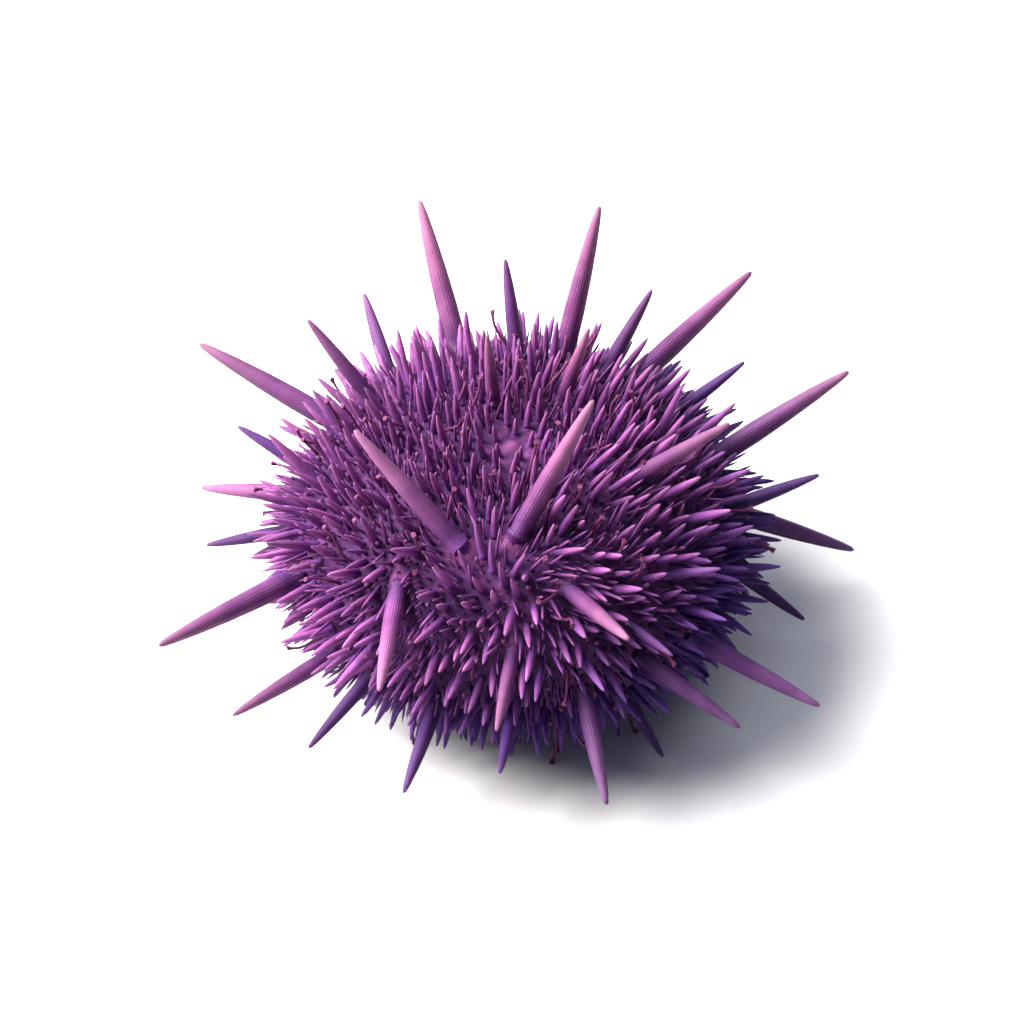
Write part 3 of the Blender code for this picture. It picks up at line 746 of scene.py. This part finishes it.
# a shared effect: an input with no value of its own is a vector, and every other input or output a number
def groupTree(name, inputs, outputs):
    tree = bpy.data.node_groups.new(name, "ShaderNodeTree")
    for label, value in inputs.items():
        kind = "NodeSocketVector" if value is None else "NodeSocketFloat"
        socket = tree.interface.new_socket(name=label, in_out="INPUT", socket_type=kind)
        if value is not None:
            socket.default_value = value
    for label in outputs:
        tree.interface.new_socket(name=label, in_out="OUTPUT", socket_type="NodeSocketFloat")
    return Nodes(tree), tree.nodes.new("NodeGroupInput").outputs, tree.nodes.new("NodeGroupOutput")


# cloudy patches: two sizes of noise, the finer at half strength, spread by the contrast round a half
def mottleGroup():
    inputs = {"Vector": None, "Scale": 200.0, "Contrast": 1.6}
    make, given, result = groupTree("cloudyMottle", inputs, ("Mask", "Grain"))
    broad = make.noise(given["Vector"], given["Scale"], 4.0)
    fine = make.noise(given["Vector"], make.times(given["Scale"], 7.0))
    centred = make.minus(make.plus(broad, make.times(fine, 0.5)), 0.75)
    spread = make.plus(make.times(centred, given["Contrast"]), 0.5)
    clamped = make.feed(make.add("Clamp"), {0: spread}).outputs[0]
    make.feed(result, {"Mask": clamped, "Grain": fine})
    return make.tree


# lengthwise ribs: 0.5 + 0.5 * cos(count * turn round the rod), with the turn read from the rod's own map
def ribGroup():
    make, given, result = groupTree("lengthwiseRibs", {"Around": 0.0, "Count": 20.0}, ("Ridge",))
    wave = make.math("COSINE", make.times(make.times(given["Around"], math.tau), given["Count"]))
    make.feed(result, {"Ridge": make.plus(make.times(wave, 0.5), 0.5)})
    return make.tree


mottleTree = mottleGroup()
ribTree = ribGroup()


def newMaterial(name):
    material = bpy.data.materials.new(name)
    material.use_nodes = True
    make = Nodes(material.node_tree)
    return material, make, make.tree.nodes["Principled BSDF"]


# A finish of the animal starts from cloudy patches of a scale and contrast
class Finish(Nodes):
    def __init__(self, name, cloudLook):
        self.material, make, self.shader = newMaterial(name)
        super().__init__(make.tree)
        self.spot = self.add("TexCoord").outputs["Object"]
        self.cloud = self.mottle(*cloudLook)

    def mottle(self, scale, contrast):
        return self.group(mottleTree, Vector=self.spot, Scale=scale, Contrast=contrast)

    def tint(self):
        return self.add("Attribute", attribute_name="tint").outputs["Fac"]

    # the way round a rod and along it, from its own map
    def rodPlace(self):
        return self.split(self.add("UVMap", uv_map="spineUV").outputs[0])[:2]

    # roughness = base + share * grain
    def finished(self, colour, height, base, share, strength, depth, shine=0.5):
        bump = self.feed(self.add("Bump"), {"Strength": strength, "Distance": depth, "Height": height})
        rough = self.plus(self.times(self.cloud["Grain"], share), base)
        self.feed(self.shader, {"Base Color": colour, "Roughness": rough, "Normal": bump.outputs[0]})
        self.shader.inputs["Specular IOR Level"].default_value = shine
        return self.material


# A spine's finish: indigo at the root, through purple, to pink near the tip, with a colour at each stop,
# a share of the way from root to tip
spineFinish = {
    "stops": (0.0, 0.16, 0.42, 0.75, 1.0),
    "long": ((0.040, 0.009, 0.080), (0.068, 0.014, 0.100), (0.155, 0.036, 0.125), (0.260, 0.085, 0.175),
             (0.360, 0.145, 0.235)),
    "coat": ((0.042, 0.014, 0.110), (0.080, 0.021, 0.145), (0.200, 0.046, 0.205), (0.320, 0.088, 0.270),
             (0.400, 0.140, 0.330)),
    "dark": ((0.020, 0.008, 0.050), (0.030, 0.010, 0.065), (0.050, 0.016, 0.090), (0.075, 0.024, 0.115),
             (0.115, 0.040, 0.150)),
    "cloudLook": (330.0, 1.8),
    "patchLook": (75.0, 2.4),
    "bands": (60.0, 7.0),  # how fast the colour's shift changes from spine to spine, and along one
    "bandShift": 0.3,
    "shuffles": (95.7, 33.1),  # the fraction of tint times each of these is another chance of the spine's own
    "blue": (0.07, 0.034, 0.18),
    "blueShare": 0.28,
    "cloud": (0.40, 0.16, 0.31),
    "cloudShares": (0.20, 0.16),  # the share, and how much less it is on the darkest
    # painted shade: the grooves between a spine's ribs are darkened towards this colour, by this share
    "grooveShadeColour": (0.030, 0.009, 0.055),
    "grooveShadeShare": 0.45,
    "ownBright": (0.85, 0.3),
    "patchBright": (0.8, 0.4),
    "low": (0.20, 0.25, 0.54),  # painted shade: what a spine's colour is multiplied by near the floor, darker and bluer
    "paintedShadeFrom": 30.0 * mm,
    "paintedShadeTo": 8.0 * mm,
    "paintedShadeTilt": 0.36,  # how much higher the painted shade reaches for each step to the right, so the right flank is darker too
    "grainHeight": 0.5,
    "surface": {"base": 0.35, "share": 0.2, "strength": 0.5, "depth": 0.06 * mm, "shine": 0.11},
}


# colour = the dark ones where 1 - darkShare * (1 - tint) is 0, the given ones where it is 1, and then
# brightness = (least + spread * own chance) * (least + spread * patch): every spine has its own, within
# broad patches
def spineMaterial(name, colours, ribs, brightness, darkShare, paintedShadeShare):
    make = Finish(name, spineFinish["cloudLook"])
    around, along = make.rodPlace()
    tint = make.tint()
    patch = make.mottle(*spineFinish["patchLook"])["Mask"]
    ridge = make.group(ribTree, Around=around, Count=float(ribs))[0]
    turned, chance = (make.math("FRACT", make.times(tint, shuffle)) for shuffle in spineFinish["shuffles"])

    steps = (make.times(value, step) for value, step in zip((tint, along), spineFinish["bands"]))
    bands = make.noise(make.feed(make.add("CombineXYZ"), dict(enumerate(steps))).outputs[0], 1.0)
    shift = spineFinish["bandShift"]
    shifted = make.minus(make.plus(along, make.times(bands, shift)), shift / 2)
    darker = make.times(make.minus(1.0, tint), darkShare)
    ramps = (make.ramp(shifted, spineFinish["stops"], spineFinish[kind]) for kind in (colours, "dark"))
    colour = make.blend(darker, *ramps)
    colour = make.blend(make.times(turned, spineFinish["blueShare"]), colour, spineFinish["blue"])
    share, less = spineFinish["cloudShares"]
    clouded = make.times(make.cloud["Mask"], make.minus(share, make.times(darker, less)))
    colour = make.blend(clouded, colour, spineFinish["cloud"])
    # painted shade in the grooves between the ribs, strongest where the ridge is lowest
    grooveShadeMask = make.times(make.minus(1.0, ridge), spineFinish["grooveShadeShare"])
    colour = make.blend(grooveShadeMask, colour, spineFinish["grooveShadeColour"])
    ranges = ((chance, spineFinish["ownBright"]), (patch, spineFinish["patchBright"]))
    own, broad = (make.plus(make.times(value, spread), least) for value, (least, spread) in ranges)
    bright = make.times(make.times(own, broad), brightness)
    colour = make.feed(make.add("VectorMath", operation="SCALE"), {0: colour, "Scale": bright}).outputs[0]
    # painted shade: darker and bluer towards the floor and the right flank, by height less a share of x
    right, _, up = make.split(make.spot)
    level = make.minus(up, make.times(right, spineFinish["paintedShadeTilt"]))
    low = make.rising(level, spineFinish["paintedShadeFrom"], spineFinish["paintedShadeTo"], paintedShadeShare, "SMOOTHSTEP")
    colour = make.blend(low, colour, spineFinish["low"], "MULTIPLY")
    height = make.plus(ridge, make.times(make.cloud["Grain"], spineFinish["grainHeight"]))
    return make.finished(colour, height, **spineFinish["surface"])


# the last number is how strong the painted shade towards the floor and the right flank is
longFinish = spineMaterial("longSpineFinish", "long", 22, 1.0, 1.0, 0.7)
middleFinish = spineMaterial("middleSpineFinish", "coat", 16, 1.2, 0.45, 1.0)
smallFinish = spineMaterial("smallSpineFinish", "coat", 12, 1.18, 0.35, 1.0)
fineFinish = spineMaterial("fineSpineFinish", "coat", 6, 0.95, 0.3, 1.0)

# Tube feet and pincers: a soft stalk, paler towards its end
stalkFinish = {
    "cloudLook": (900.0, 2.0),
    "stops": (0.0, 0.8, 0.93, 1.0),
    "cloudShare": 0.5,
    "cloudShade": 0.5,
    "wrinkles": 16.0,
    "softness": {"Subsurface Weight": 0.2, "Subsurface Scale": 0.3 * mm},
    "surface": {"base": 0.45, "share": 0.2, "strength": 0.4, "depth": 0.04 * mm, "shine": 0.12},
}


def stalkMaterial(name, low, high):
    make = Finish(name, stalkFinish["cloudLook"])
    _, along = make.rodPlace()
    shade = tuple(stalkFinish["cloudShade"] * value for value in low)
    clouded = make.times(make.cloud["Mask"], stalkFinish["cloudShare"])
    colour = make.blend(clouded, make.ramp(along, stalkFinish["stops"], (low, low, high, high)), shade)
    wrinkles = make.group(ribTree, Around=along, Count=stalkFinish["wrinkles"])[0]
    make.feed(make.shader, stalkFinish["softness"])
    return make.finished(colour, wrinkles, **stalkFinish["surface"])


tubeFinish = stalkMaterial("tubeFootFinish", (0.12, 0.024, 0.085), (0.15, 0.038, 0.11))
pincerFinish = stalkMaterial("pincerFinish", (0.11, 0.032, 0.12), (0.18, 0.065, 0.16))

# The spines: a socket over the mound, the milled ring, a neck, then the long taper to a blunt point
spineShape = {
    "full": ((-0.7, 0, 0.85), (0.3, 0, 0.80), (0.62, 0, 0.98), (0.80, 0, 1.15), (1.0, 0, 1.15),
             (1.2, 0, 0.90), (1.4, 0.06, 0.96), (1.4, 0.28, 0.96), (1.4, 0.52, 0.84), (1.4, 0.74, 0.65),
             (1.4, 0.90, 0.44), (1.4, 0.975, 0.28), (1.4, 0.995, 0.14)),
    "plain": ((-0.7, 0, 0.85), (0.5, 0, 0.95), (0.8, 0, 1.12), (1.15, 0, 0.9), (1.3, 0.25, 0.94),
              (1.3, 0.6, 0.74), (1.3, 0.88, 0.42), (1.3, 0.98, 0.18)),
    "grounded": ((-0.7, 0, 0.85), (0.5, 0, 0.95), (0.8, 0, 1.12), (1.15, 0, 0.9), (1.3, 0.4, 0.84),
                 (1.3, 0.8, 0.68), (1.3, 1.1, 0.60)),
    "thin": ((-0.7, 0, 1.0), (0.8, 0, 1.1), (1.2, 0.3, 0.9), (1.2, 0.75, 0.55)),
    "hair": ((-0.7, 0, 1.0), (0.9, 0.2, 0.95), (0.9, 0.7, 0.6)),
    "tube": ((-2.0, 0, 1.3), (0.4, 0, 1.25), (0.8, 0.09, 0.92), (0.8, 0.21, 0.84), (0.8, 0.34, 0.8),
             (0.8, 0.47, 0.77), (0.8, 0.6, 0.74), (0.8, 0.74, 0.72), (0.8, 0.89, 0.76), (0.8, 0.96, 1.3),
             (0.8, 1.0, 1.5), (0.8, 0.985, 0.9)),
    "pincer": ((-1.0, 0, 1.1), (0.5, 0.1, 0.8), (0.5, 0.6, 0.7), (0.5, 0.68, 1.5), (0.5, 0.78, 2.2),
               (0.5, 0.9, 1.8), (0.5, 0.98, 0.7)),
    "longFrom": 12.0 * mm,
    "smallTo": 6.5 * mm,
}


def spineKind(spine):
    if spine.grounded:
        return "grounded"
    if spine.pale is not None or spine.length > spineShape["longFrom"]:
        return "long"
    return "small" if spine.length <= spineShape["smallTo"] else "middle"


# name, rods, profile, sides, width of the patch on OFBake, finish, and the ribs' count and depth
def makeSpines():
    kinds = ("long", "middle", "grounded", "small")
    long, middle, grounded, small = ([s for s in coatSpines if spineKind(s) == kind] for kind in kinds)
    made = [
        rodsObject("long_spines", long, spineShape["full"], 24, 0.010, longFinish, 12, 0.05),
        rodsObject("middle_spines", middle, spineShape["plain"], 12, 0.006, middleFinish),
        rodsObject("floor_spines", grounded, spineShape["grounded"], 12, 0.006, middleFinish),
        rodsObject("small_spines", small, spineShape["plain"], 8, 0.004, smallFinish),
        rodsObject("thin_spines", thinSpines, spineShape["thin"], 7, 0.003, smallFinish),
        rodsObject("fine_spines", fineSpines, spineShape["hair"], 5, 0.003, fineFinish),
        rodsObject("pincers", pincers, spineShape["pincer"], 9, 0.003, pincerFinish, 3, 0.25),
    ]
    for piece in made:
        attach(piece, "root")
    print("spines:", len(long), "long,", len(middle), "middling,", len(grounded), "on the floor,",
          len(small), "small")


# Tube feet bend away from the line between their two ends. The mouth's own ten stand in pairs on its membrane
def makeTubeFeet():
    rng = np.random.default_rng(finer["seed"] + 1)
    ways = np.array([foot.way for foot in tubeFeet])
    lean, sway = (unit(np.cross(ways, rng.normal(0, 1, ways.shape))) for _ in range(2))
    free = np.array([[0.0 if foot.grounded else 1.0] for foot in tubeFeet])
    piece = rodsObject("tube_feet", tubeFeet, spineShape["tube"], 6, 0.004, tubeFinish,
                       bends=free * finer["tubeBend"] * lean, sways=finer["tubeSway"] * sway)
    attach(piece, "root")
    pairs = []
    for number in range(2 * shell["zones"]):
        across = levelWay(zoneTurn(number // 2 + 0.5) + finer["mouthPair"] * (number % 2 - 0.5))
        foot = finer["mouthOut"] * across + finer["mouthLevel"] * upward
        way = unit(finer["mouthSplay"] * across - upward)
        pairs.append(Spine(foot, way, finer["mouthLength"], finer["mouthRadius"], 0, number, False))
    piece = rodsObject("mouth_tube_feet", pairs, spineShape["tube"], 16, 0.006, tubeFinish)
    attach(piece, "root")
    print("tube feet:", len(tubeFeet), "on the shell and", len(pairs), "round the mouth")


makeSpines()
makeTubeFeet()


# The skin over the shell, the apical disc and the mouth's membrane, in one closed surface
skin = {
    "sides": 400,
    "mouthRings": 52,
    "shellRings": 150,
    "discRings": 22,
    "mouthPath": ((0, 8.6), (1.9, 8.6), (2.55, 8.3), (2.6, 6.2), (2.75, 5.55), (3.4, 5.3), (4.05, 5.5),
                  (4.5, 6.0), (5.4, 6.5), (6.8, 6.7), (8.4, 6.5), (9.2, 6.3), (9.45, 5.9)),
    "moundReach": 1.9,
    "moundHeight": 0.75,
    "moundTint": 0.6 * mm,  # height at which the mounds' own colour is full
    "membraneEdge": 9.2 * mm,
    "membraneFade": 1.5 * mm,
    "foldCount": 25,
    "foldBends": (2, 2600, 3900),  # reach of a fold's bends, then how fast they and the folds' rings follow
    "foldHeight": 0.10 * mm,
    "crownDepth": 2 * mm,
    "plateOut": 3.1 * mm,
    "plateRadius": 1.05 * mm,
    "plateRise": 0.22 * mm,
    "plateEdge": (1.15, 0.3),
    "bossRadius": 1.6 * mm,
    "bossHeight": 0.6 * mm,
    "ripples": ((2900, 0), (3100, 1), (2700, 2)),  # how fast they follow along x, y and z, and their start
    "rippleHeight": 0.03 * mm,
    "mapMargin": 0.02,
}


# corner cutting: each pass puts two points on every leg, a quarter and three quarters along it
def smoothPath(path, passes):
    for _ in range(passes):
        near = 0.75 * path[:-1] + 0.25 * path[1:]
        far = 0.25 * path[:-1] + 0.75 * path[1:]
        path = np.concatenate([path[:1], np.stack([near, far], axis=1).reshape(-1, 2), path[-1:]])
    return path


def spacedOut(path, count):
    way = wayAlong(path)
    goal = np.linspace(0, way[-1], count)
    return np.stack([np.interp(goal, way, path[:, k]) for k in range(2)], axis=1)


def skinOutline():
    mouth = spacedOut(smoothPath(np.array(skin["mouthPath"]) * mm, 3), skin["mouthRings"])[1:]
    angles = np.interp(np.linspace(0, 1, skin["shellRings"]), tableWay, tableAngles)
    sides = np.stack(meridian(angles), axis=1)
    out = np.linspace(shell["discRadius"], 0, skin["discRings"])[1:-1]
    share = (out / shell["radius"]) ** shell["domeFullness"]
    level = shell["widestLevel"] + shell["domeHeight"] * (1 - share) ** (1 / shell["domeFullness"])
    return np.concatenate([mouth, sides, np.stack([out, level], axis=1)])


# height of a mound = top * (1 - (distance / reach) ** 2) ** 2, the highest wherever mounds meet
def moundHeights(base, outline):
    heights = np.zeros(base.shape[:2])
    rings, sides = heights.shape
    ringGap = np.median(np.diff(wayAlong(outline)))
    for spine in coatSpines:
        reach = skin["moundReach"] * spine.radius
        out = math.hypot(spine.foot[0], spine.foot[1])
        ring = int(np.argmin(np.abs(outline[:, 0] - out) + np.abs(outline[:, 1] - spine.foot[2])))
        halfRings = int(reach / ringGap) + 2
        middle = round(math.atan2(spine.foot[1], spine.foot[0]) % math.tau / math.tau * sides)
        halfSides = min(int(reach / out / math.tau * sides) + 2, sides // 2 - 1)
        nearRings = np.arange(max(ring - halfRings, 0), min(ring + halfRings + 1, rings))
        block = np.ix_(nearRings, np.arange(middle - halfSides, middle + halfSides + 1) % sides)
        far = np.linalg.norm(base[block] - spine.foot, axis=-1) / reach
        lift = skin["moundHeight"] * spine.radius * np.clip(1 - far**2, 0, 1) ** 2
        heights[block] = np.maximum(heights[block], lift)
    return heights


# the membrane's folds = height * sin(count * azimuth + reach * sin(first * out)) * sin(second * out)
def skinHeights(base, outline, azimuths):
    out, level = outline[:, :1], outline[:, 1:]
    heights = moundHeights(base, outline)
    reach, first, second = skin["foldBends"]
    folds = np.sin(azimuths * skin["foldCount"] + reach * np.sin(out * first)) * np.sin(out * second)
    onMembrane = np.clip((skin["membraneEdge"] - out) / skin["membraneFade"], 0, 1)
    heights = heights + onMembrane * (level < shell["plugMeeting"]) * skin["foldHeight"] * folds
    onTop = level > crownLevel - skin["crownDepth"]
    edge, fade = skin["plateEdge"]
    for zone in range(shell["zones"]):
        spot = skin["plateOut"] * levelWay(zoneTurn(zone))
        far = np.linalg.norm(base[..., :2] - spot[:2], axis=-1) / skin["plateRadius"]
        heights = heights + onTop * skin["plateRise"] * np.clip((edge - far) / fade, 0, 1)
    boss = np.clip(1 - (out / skin["bossRadius"]) ** 2, 0, 1) ** 1.5
    return heights + onTop * skin["bossHeight"] * boss


def makeSkin(finish):
    outline = skinOutline()
    azimuths = fullTurn(skin["sides"])
    across = levelWays(azimuths)
    base = outline[:, :1, None] * across + outline[:, 1:, None] * upward
    along = unit(np.gradient(outline, axis=0))
    outward = along[:, 1:, None] * across - along[:, :1, None] * upward
    heights = skinHeights(base, outline, azimuths)
    ripple = math.prod(np.sin(base[..., k] * fast + start) for k, (fast, start) in enumerate(skin["ripples"]))
    points = base + (heights + skin["rippleHeight"] * ripple)[..., None] * outward
    ends = outline[0, 1] * upward, (crownLevel + skin["bossHeight"]) * upward
    points = np.concatenate([points.reshape(-1, 3), ends])
    way = wayAlong(outline)
    way = skin["mapMargin"] + (1 - 2 * skin["mapMargin"]) * way / way[-1]
    tints = np.concatenate([np.clip(heights / skin["moundTint"], 0, 1).reshape(-1), [0, 1]])
    piece = meshObject("skin", points, ringFaces(len(outline), skin["sides"]), finish,
                       {"OFBake": ringCorners(way[None], skin["sides"])}, tints)
    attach(piece, "root")
    zones = range(1, shell["zones"] + 1)
    columns = [f"{kind}_{zone}" for kind in ("interambulacrum", "ambulacrum") for zone in zones]
    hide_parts(*columns, "apical_disc", "peristome")
    print("skin:", len(points), "points")


skinFinish = {
    "cloudLook": (260.0, 2.2),
    "hollow": (0.030, 0.011, 0.055),
    "cloud": (0.085, 0.024, 0.095),
    "mound": (0.15, 0.042, 0.13),
    "membrane": (0.16, 0.035, 0.09),
    "membraneShare": 0.6,
    "membraneFrom": 7.2 * mm,
    "membraneTo": 6.2 * mm,
    "pitScale": 1900.0,
    "surface": {"base": 0.5, "share": 0.3, "strength": 0.35, "depth": 0.10 * mm, "shine": 0.06},
}


def skinMaterial():
    make = Finish("skinFinish", skinFinish["cloudLook"])
    colour = make.blend(make.cloud["Mask"], skinFinish["hollow"], skinFinish["cloud"])
    colour = make.blend(make.tint(), colour, skinFinish["mound"])
    low = make.rising(make.split(make.spot)[2], skinFinish["membraneFrom"], skinFinish["membraneTo"])
    colour = make.blend(make.times(low, skinFinish["membraneShare"]), colour, skinFinish["membrane"])
    pits = make.feed(make.add("TexVoronoi"), {"Vector": make.spot, "Scale": skinFinish["pitScale"]})
    height = make.plus(pits.outputs[0], make.cloud["Grain"])
    return make.finished(colour, height, **skinFinish["surface"])


makeSkin(skinMaterial())

# Five teeth that close under the mouth, each with a keel towards the axis
teeth = {
    "out": (1.5, 1.3, 1.0, 0.62),
    "width": (1.2, 1.1, 0.8, 0.3),
    "depth": (1.3, 1.15, 0.85, 0.35),
    "topLevel": 8.3 * mm,
    "tipLevel": 3.9 * mm,
    "roundness": 0.7,
    "keel": 0.3,
    "rings": 26,
    "sides": 28,
    "cloudLook": (700.0, 2.0),
    "colour": (0.78, 0.74, 0.64),
    "stain": (0.50, 0.36, 0.34),
    "lineScale": 900.0,
    "lineBend": 2.0,
    "surface": {"base": 0.2, "share": 0.25, "strength": 0.3, "depth": 0.05 * mm},
}


# the section at a level: out - depth / 2 * side(cos) across the keel, width / 2 * side(sin) along it, where
# side(x) = sign(x) * |x| ** roundness, and the keel pinches the inner half's width by
# 1 - keel * (1 + cos) / 2
def makeTeeth(finish):
    way = np.linspace(0, 1, teeth["rings"])
    knots = np.linspace(0, 1, len(teeth["out"]))
    out, width, depth = (np.interp(way, knots, teeth[key])[:, None] * mm for key in ("out", "width", "depth"))
    turn = fullTurn(teeth["sides"])
    waves = np.stack([np.cos(turn), np.sin(turn)])
    inward, sideways = np.sign(waves) * np.abs(waves) ** teeth["roundness"]
    pinch = 1 - teeth["keel"] * (1 + np.cos(turn)) / 2
    away = out - depth / 2 * inward
    level = np.broadcast_to(between((teeth["topLevel"], teeth["tipLevel"]), way)[:, None], away.shape)
    ends = (out[0, 0], 0, teeth["topLevel"]), (out[-1, 0], 0, teeth["tipLevel"])
    local = np.stack([away, width / 2 * sideways * pinch, level], axis=-1).reshape(-1, 3)
    local = np.concatenate([local, ends])
    faces = ringFaces(teeth["rings"], teeth["sides"])
    for number in range(shell["zones"]):
        across = levelWay(zoneTurn(number))
        points = local @ np.stack([across, np.cross(upward, across), upward])
        piece = meshObject(f"mouth_tooth_{number + 1}", points, faces, finish)
        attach(piece, "root")
        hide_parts(f"tooth_{number + 1}")
    print("teeth:", shell["zones"])


def toothMaterial():
    make = Finish("toothFinish", teeth["cloudLook"])
    lines = make.add("TexWave", bands_direction="Z")
    make.feed(lines, {"Vector": make.spot, "Scale": teeth["lineScale"], "Distortion": teeth["lineBend"]})
    colour = make.blend(make.cloud["Mask"], teeth["colour"], teeth["stain"])
    height = make.plus(make.times(lines.outputs[1], 0.5), make.cloud["Grain"])
    return make.finished(colour, height, **teeth["surface"])


makeTeeth(toothMaterial())

# The stage: a pale round floor in a white room, soft lights and the camera
stage = {
    "floorRadius": 0.6,
    "floorSides": 128,
    "floorColour": (0.72, 0.72, 0.72),
    "floorRoughness": 0.8,
    "lens": 300,
    "sensor": 36,
    "frameWidth": 130.0 * mm,
    "aimRise": 3.2 * mm,  # the shell's middle shows a little below the picture's middle
    "lights": (
        # name, spot from the shell's middle, size, power, colour
        ("keyLight", (-1.18, 0.30, 1.08), 1.6, 168.0, (1.0, 0.97, 0.94)),
        ("topLight", (0.35, 0.5, 1.4), 1.5, 10.0, (0.86, 0.89, 1.0)),
    ),
    "world": (0.66, 0.70, 1.0),
    "worldStrength": 0.17,
    "white": (1.0, 1.0, 1.0),
}


def makeFloor():
    edge = stage["floorRadius"] * levelWays(fullTurn(stage["floorSides"]))
    mesh = bpy.data.meshes.new("floor")
    mesh.from_pydata(edge.tolist(), [], [tuple(range(stage["floorSides"]))])
    material, make, shader = newMaterial("floorFinish")
    make.feed(shader, {"Base Color": stage["floorColour"], "Roughness": stage["floorRoughness"]})
    clear = make.add("BsdfTransparent")  # the floor is clear from below, so the mouth can be seen
    below = make.add("NewGeometry").outputs["Backfacing"]
    make.mixShaders(below, shader.outputs[0], clear.outputs[0], "Material Output")
    mesh.materials.append(material)
    floor = addObject("floor", mesh)


# it lights the piece dimly, and shows white behind it
def makeRoom():
    world = bpy.data.worlds.new("whiteRoom")
    world.use_nodes = True
    make = Nodes(world.node_tree)
    dim = make.feed(make.tree.nodes["Background"], {0: stage["world"], 1: stage["worldStrength"]})
    white = make.feed(make.add("Background"), {0: stage["white"]})
    seen = make.add("LightPath").outputs["Is Camera Ray"]
    make.mixShaders(seen, dim.outputs[0], white.outputs[0], "World Output")
    bpy.context.scene.world = world


# a lamp or camera looks the other way from out, with up above it
def standAt(thing, spot, right, up, out):
    turn = Matrix(np.stack([right, up, out], axis=1).tolist()).to_4x4()
    thing.matrix_world = Matrix.Translation(spot.tolist()) @ turn


def makeStage():
    middle = view["middle"] + axisSpot
    for name, spot, size, power, colour in stage["lights"]:
        light = bpy.data.lights.new(name, "AREA")
        light.shape = "DISK"
        light.size, light.energy, light.color = size, power, colour
        out = unit(np.array(spot))
        side = unit(np.cross(upward, out))
        standAt(addObject(name, light), middle + spot, side, np.cross(out, side), out)
    lens = bpy.data.cameras.new("camera")
    lens.lens, lens.sensor_width = stage["lens"], stage["sensor"]
    camera = addObject("camera", lens)
    far = stage["frameWidth"] * stage["lens"] / stage["sensor"]
    standAt(camera, middle + stage["aimRise"] * viewUp + far * viewOut, viewRight, viewUp, viewOut)
    bpy.context.scene.camera = camera
    bpy.context.scene.view_settings.view_transform = "Standard"
    print("stage set, camera", round(far, 3), "m away")


makeFloor()
makeRoom()
makeStage()
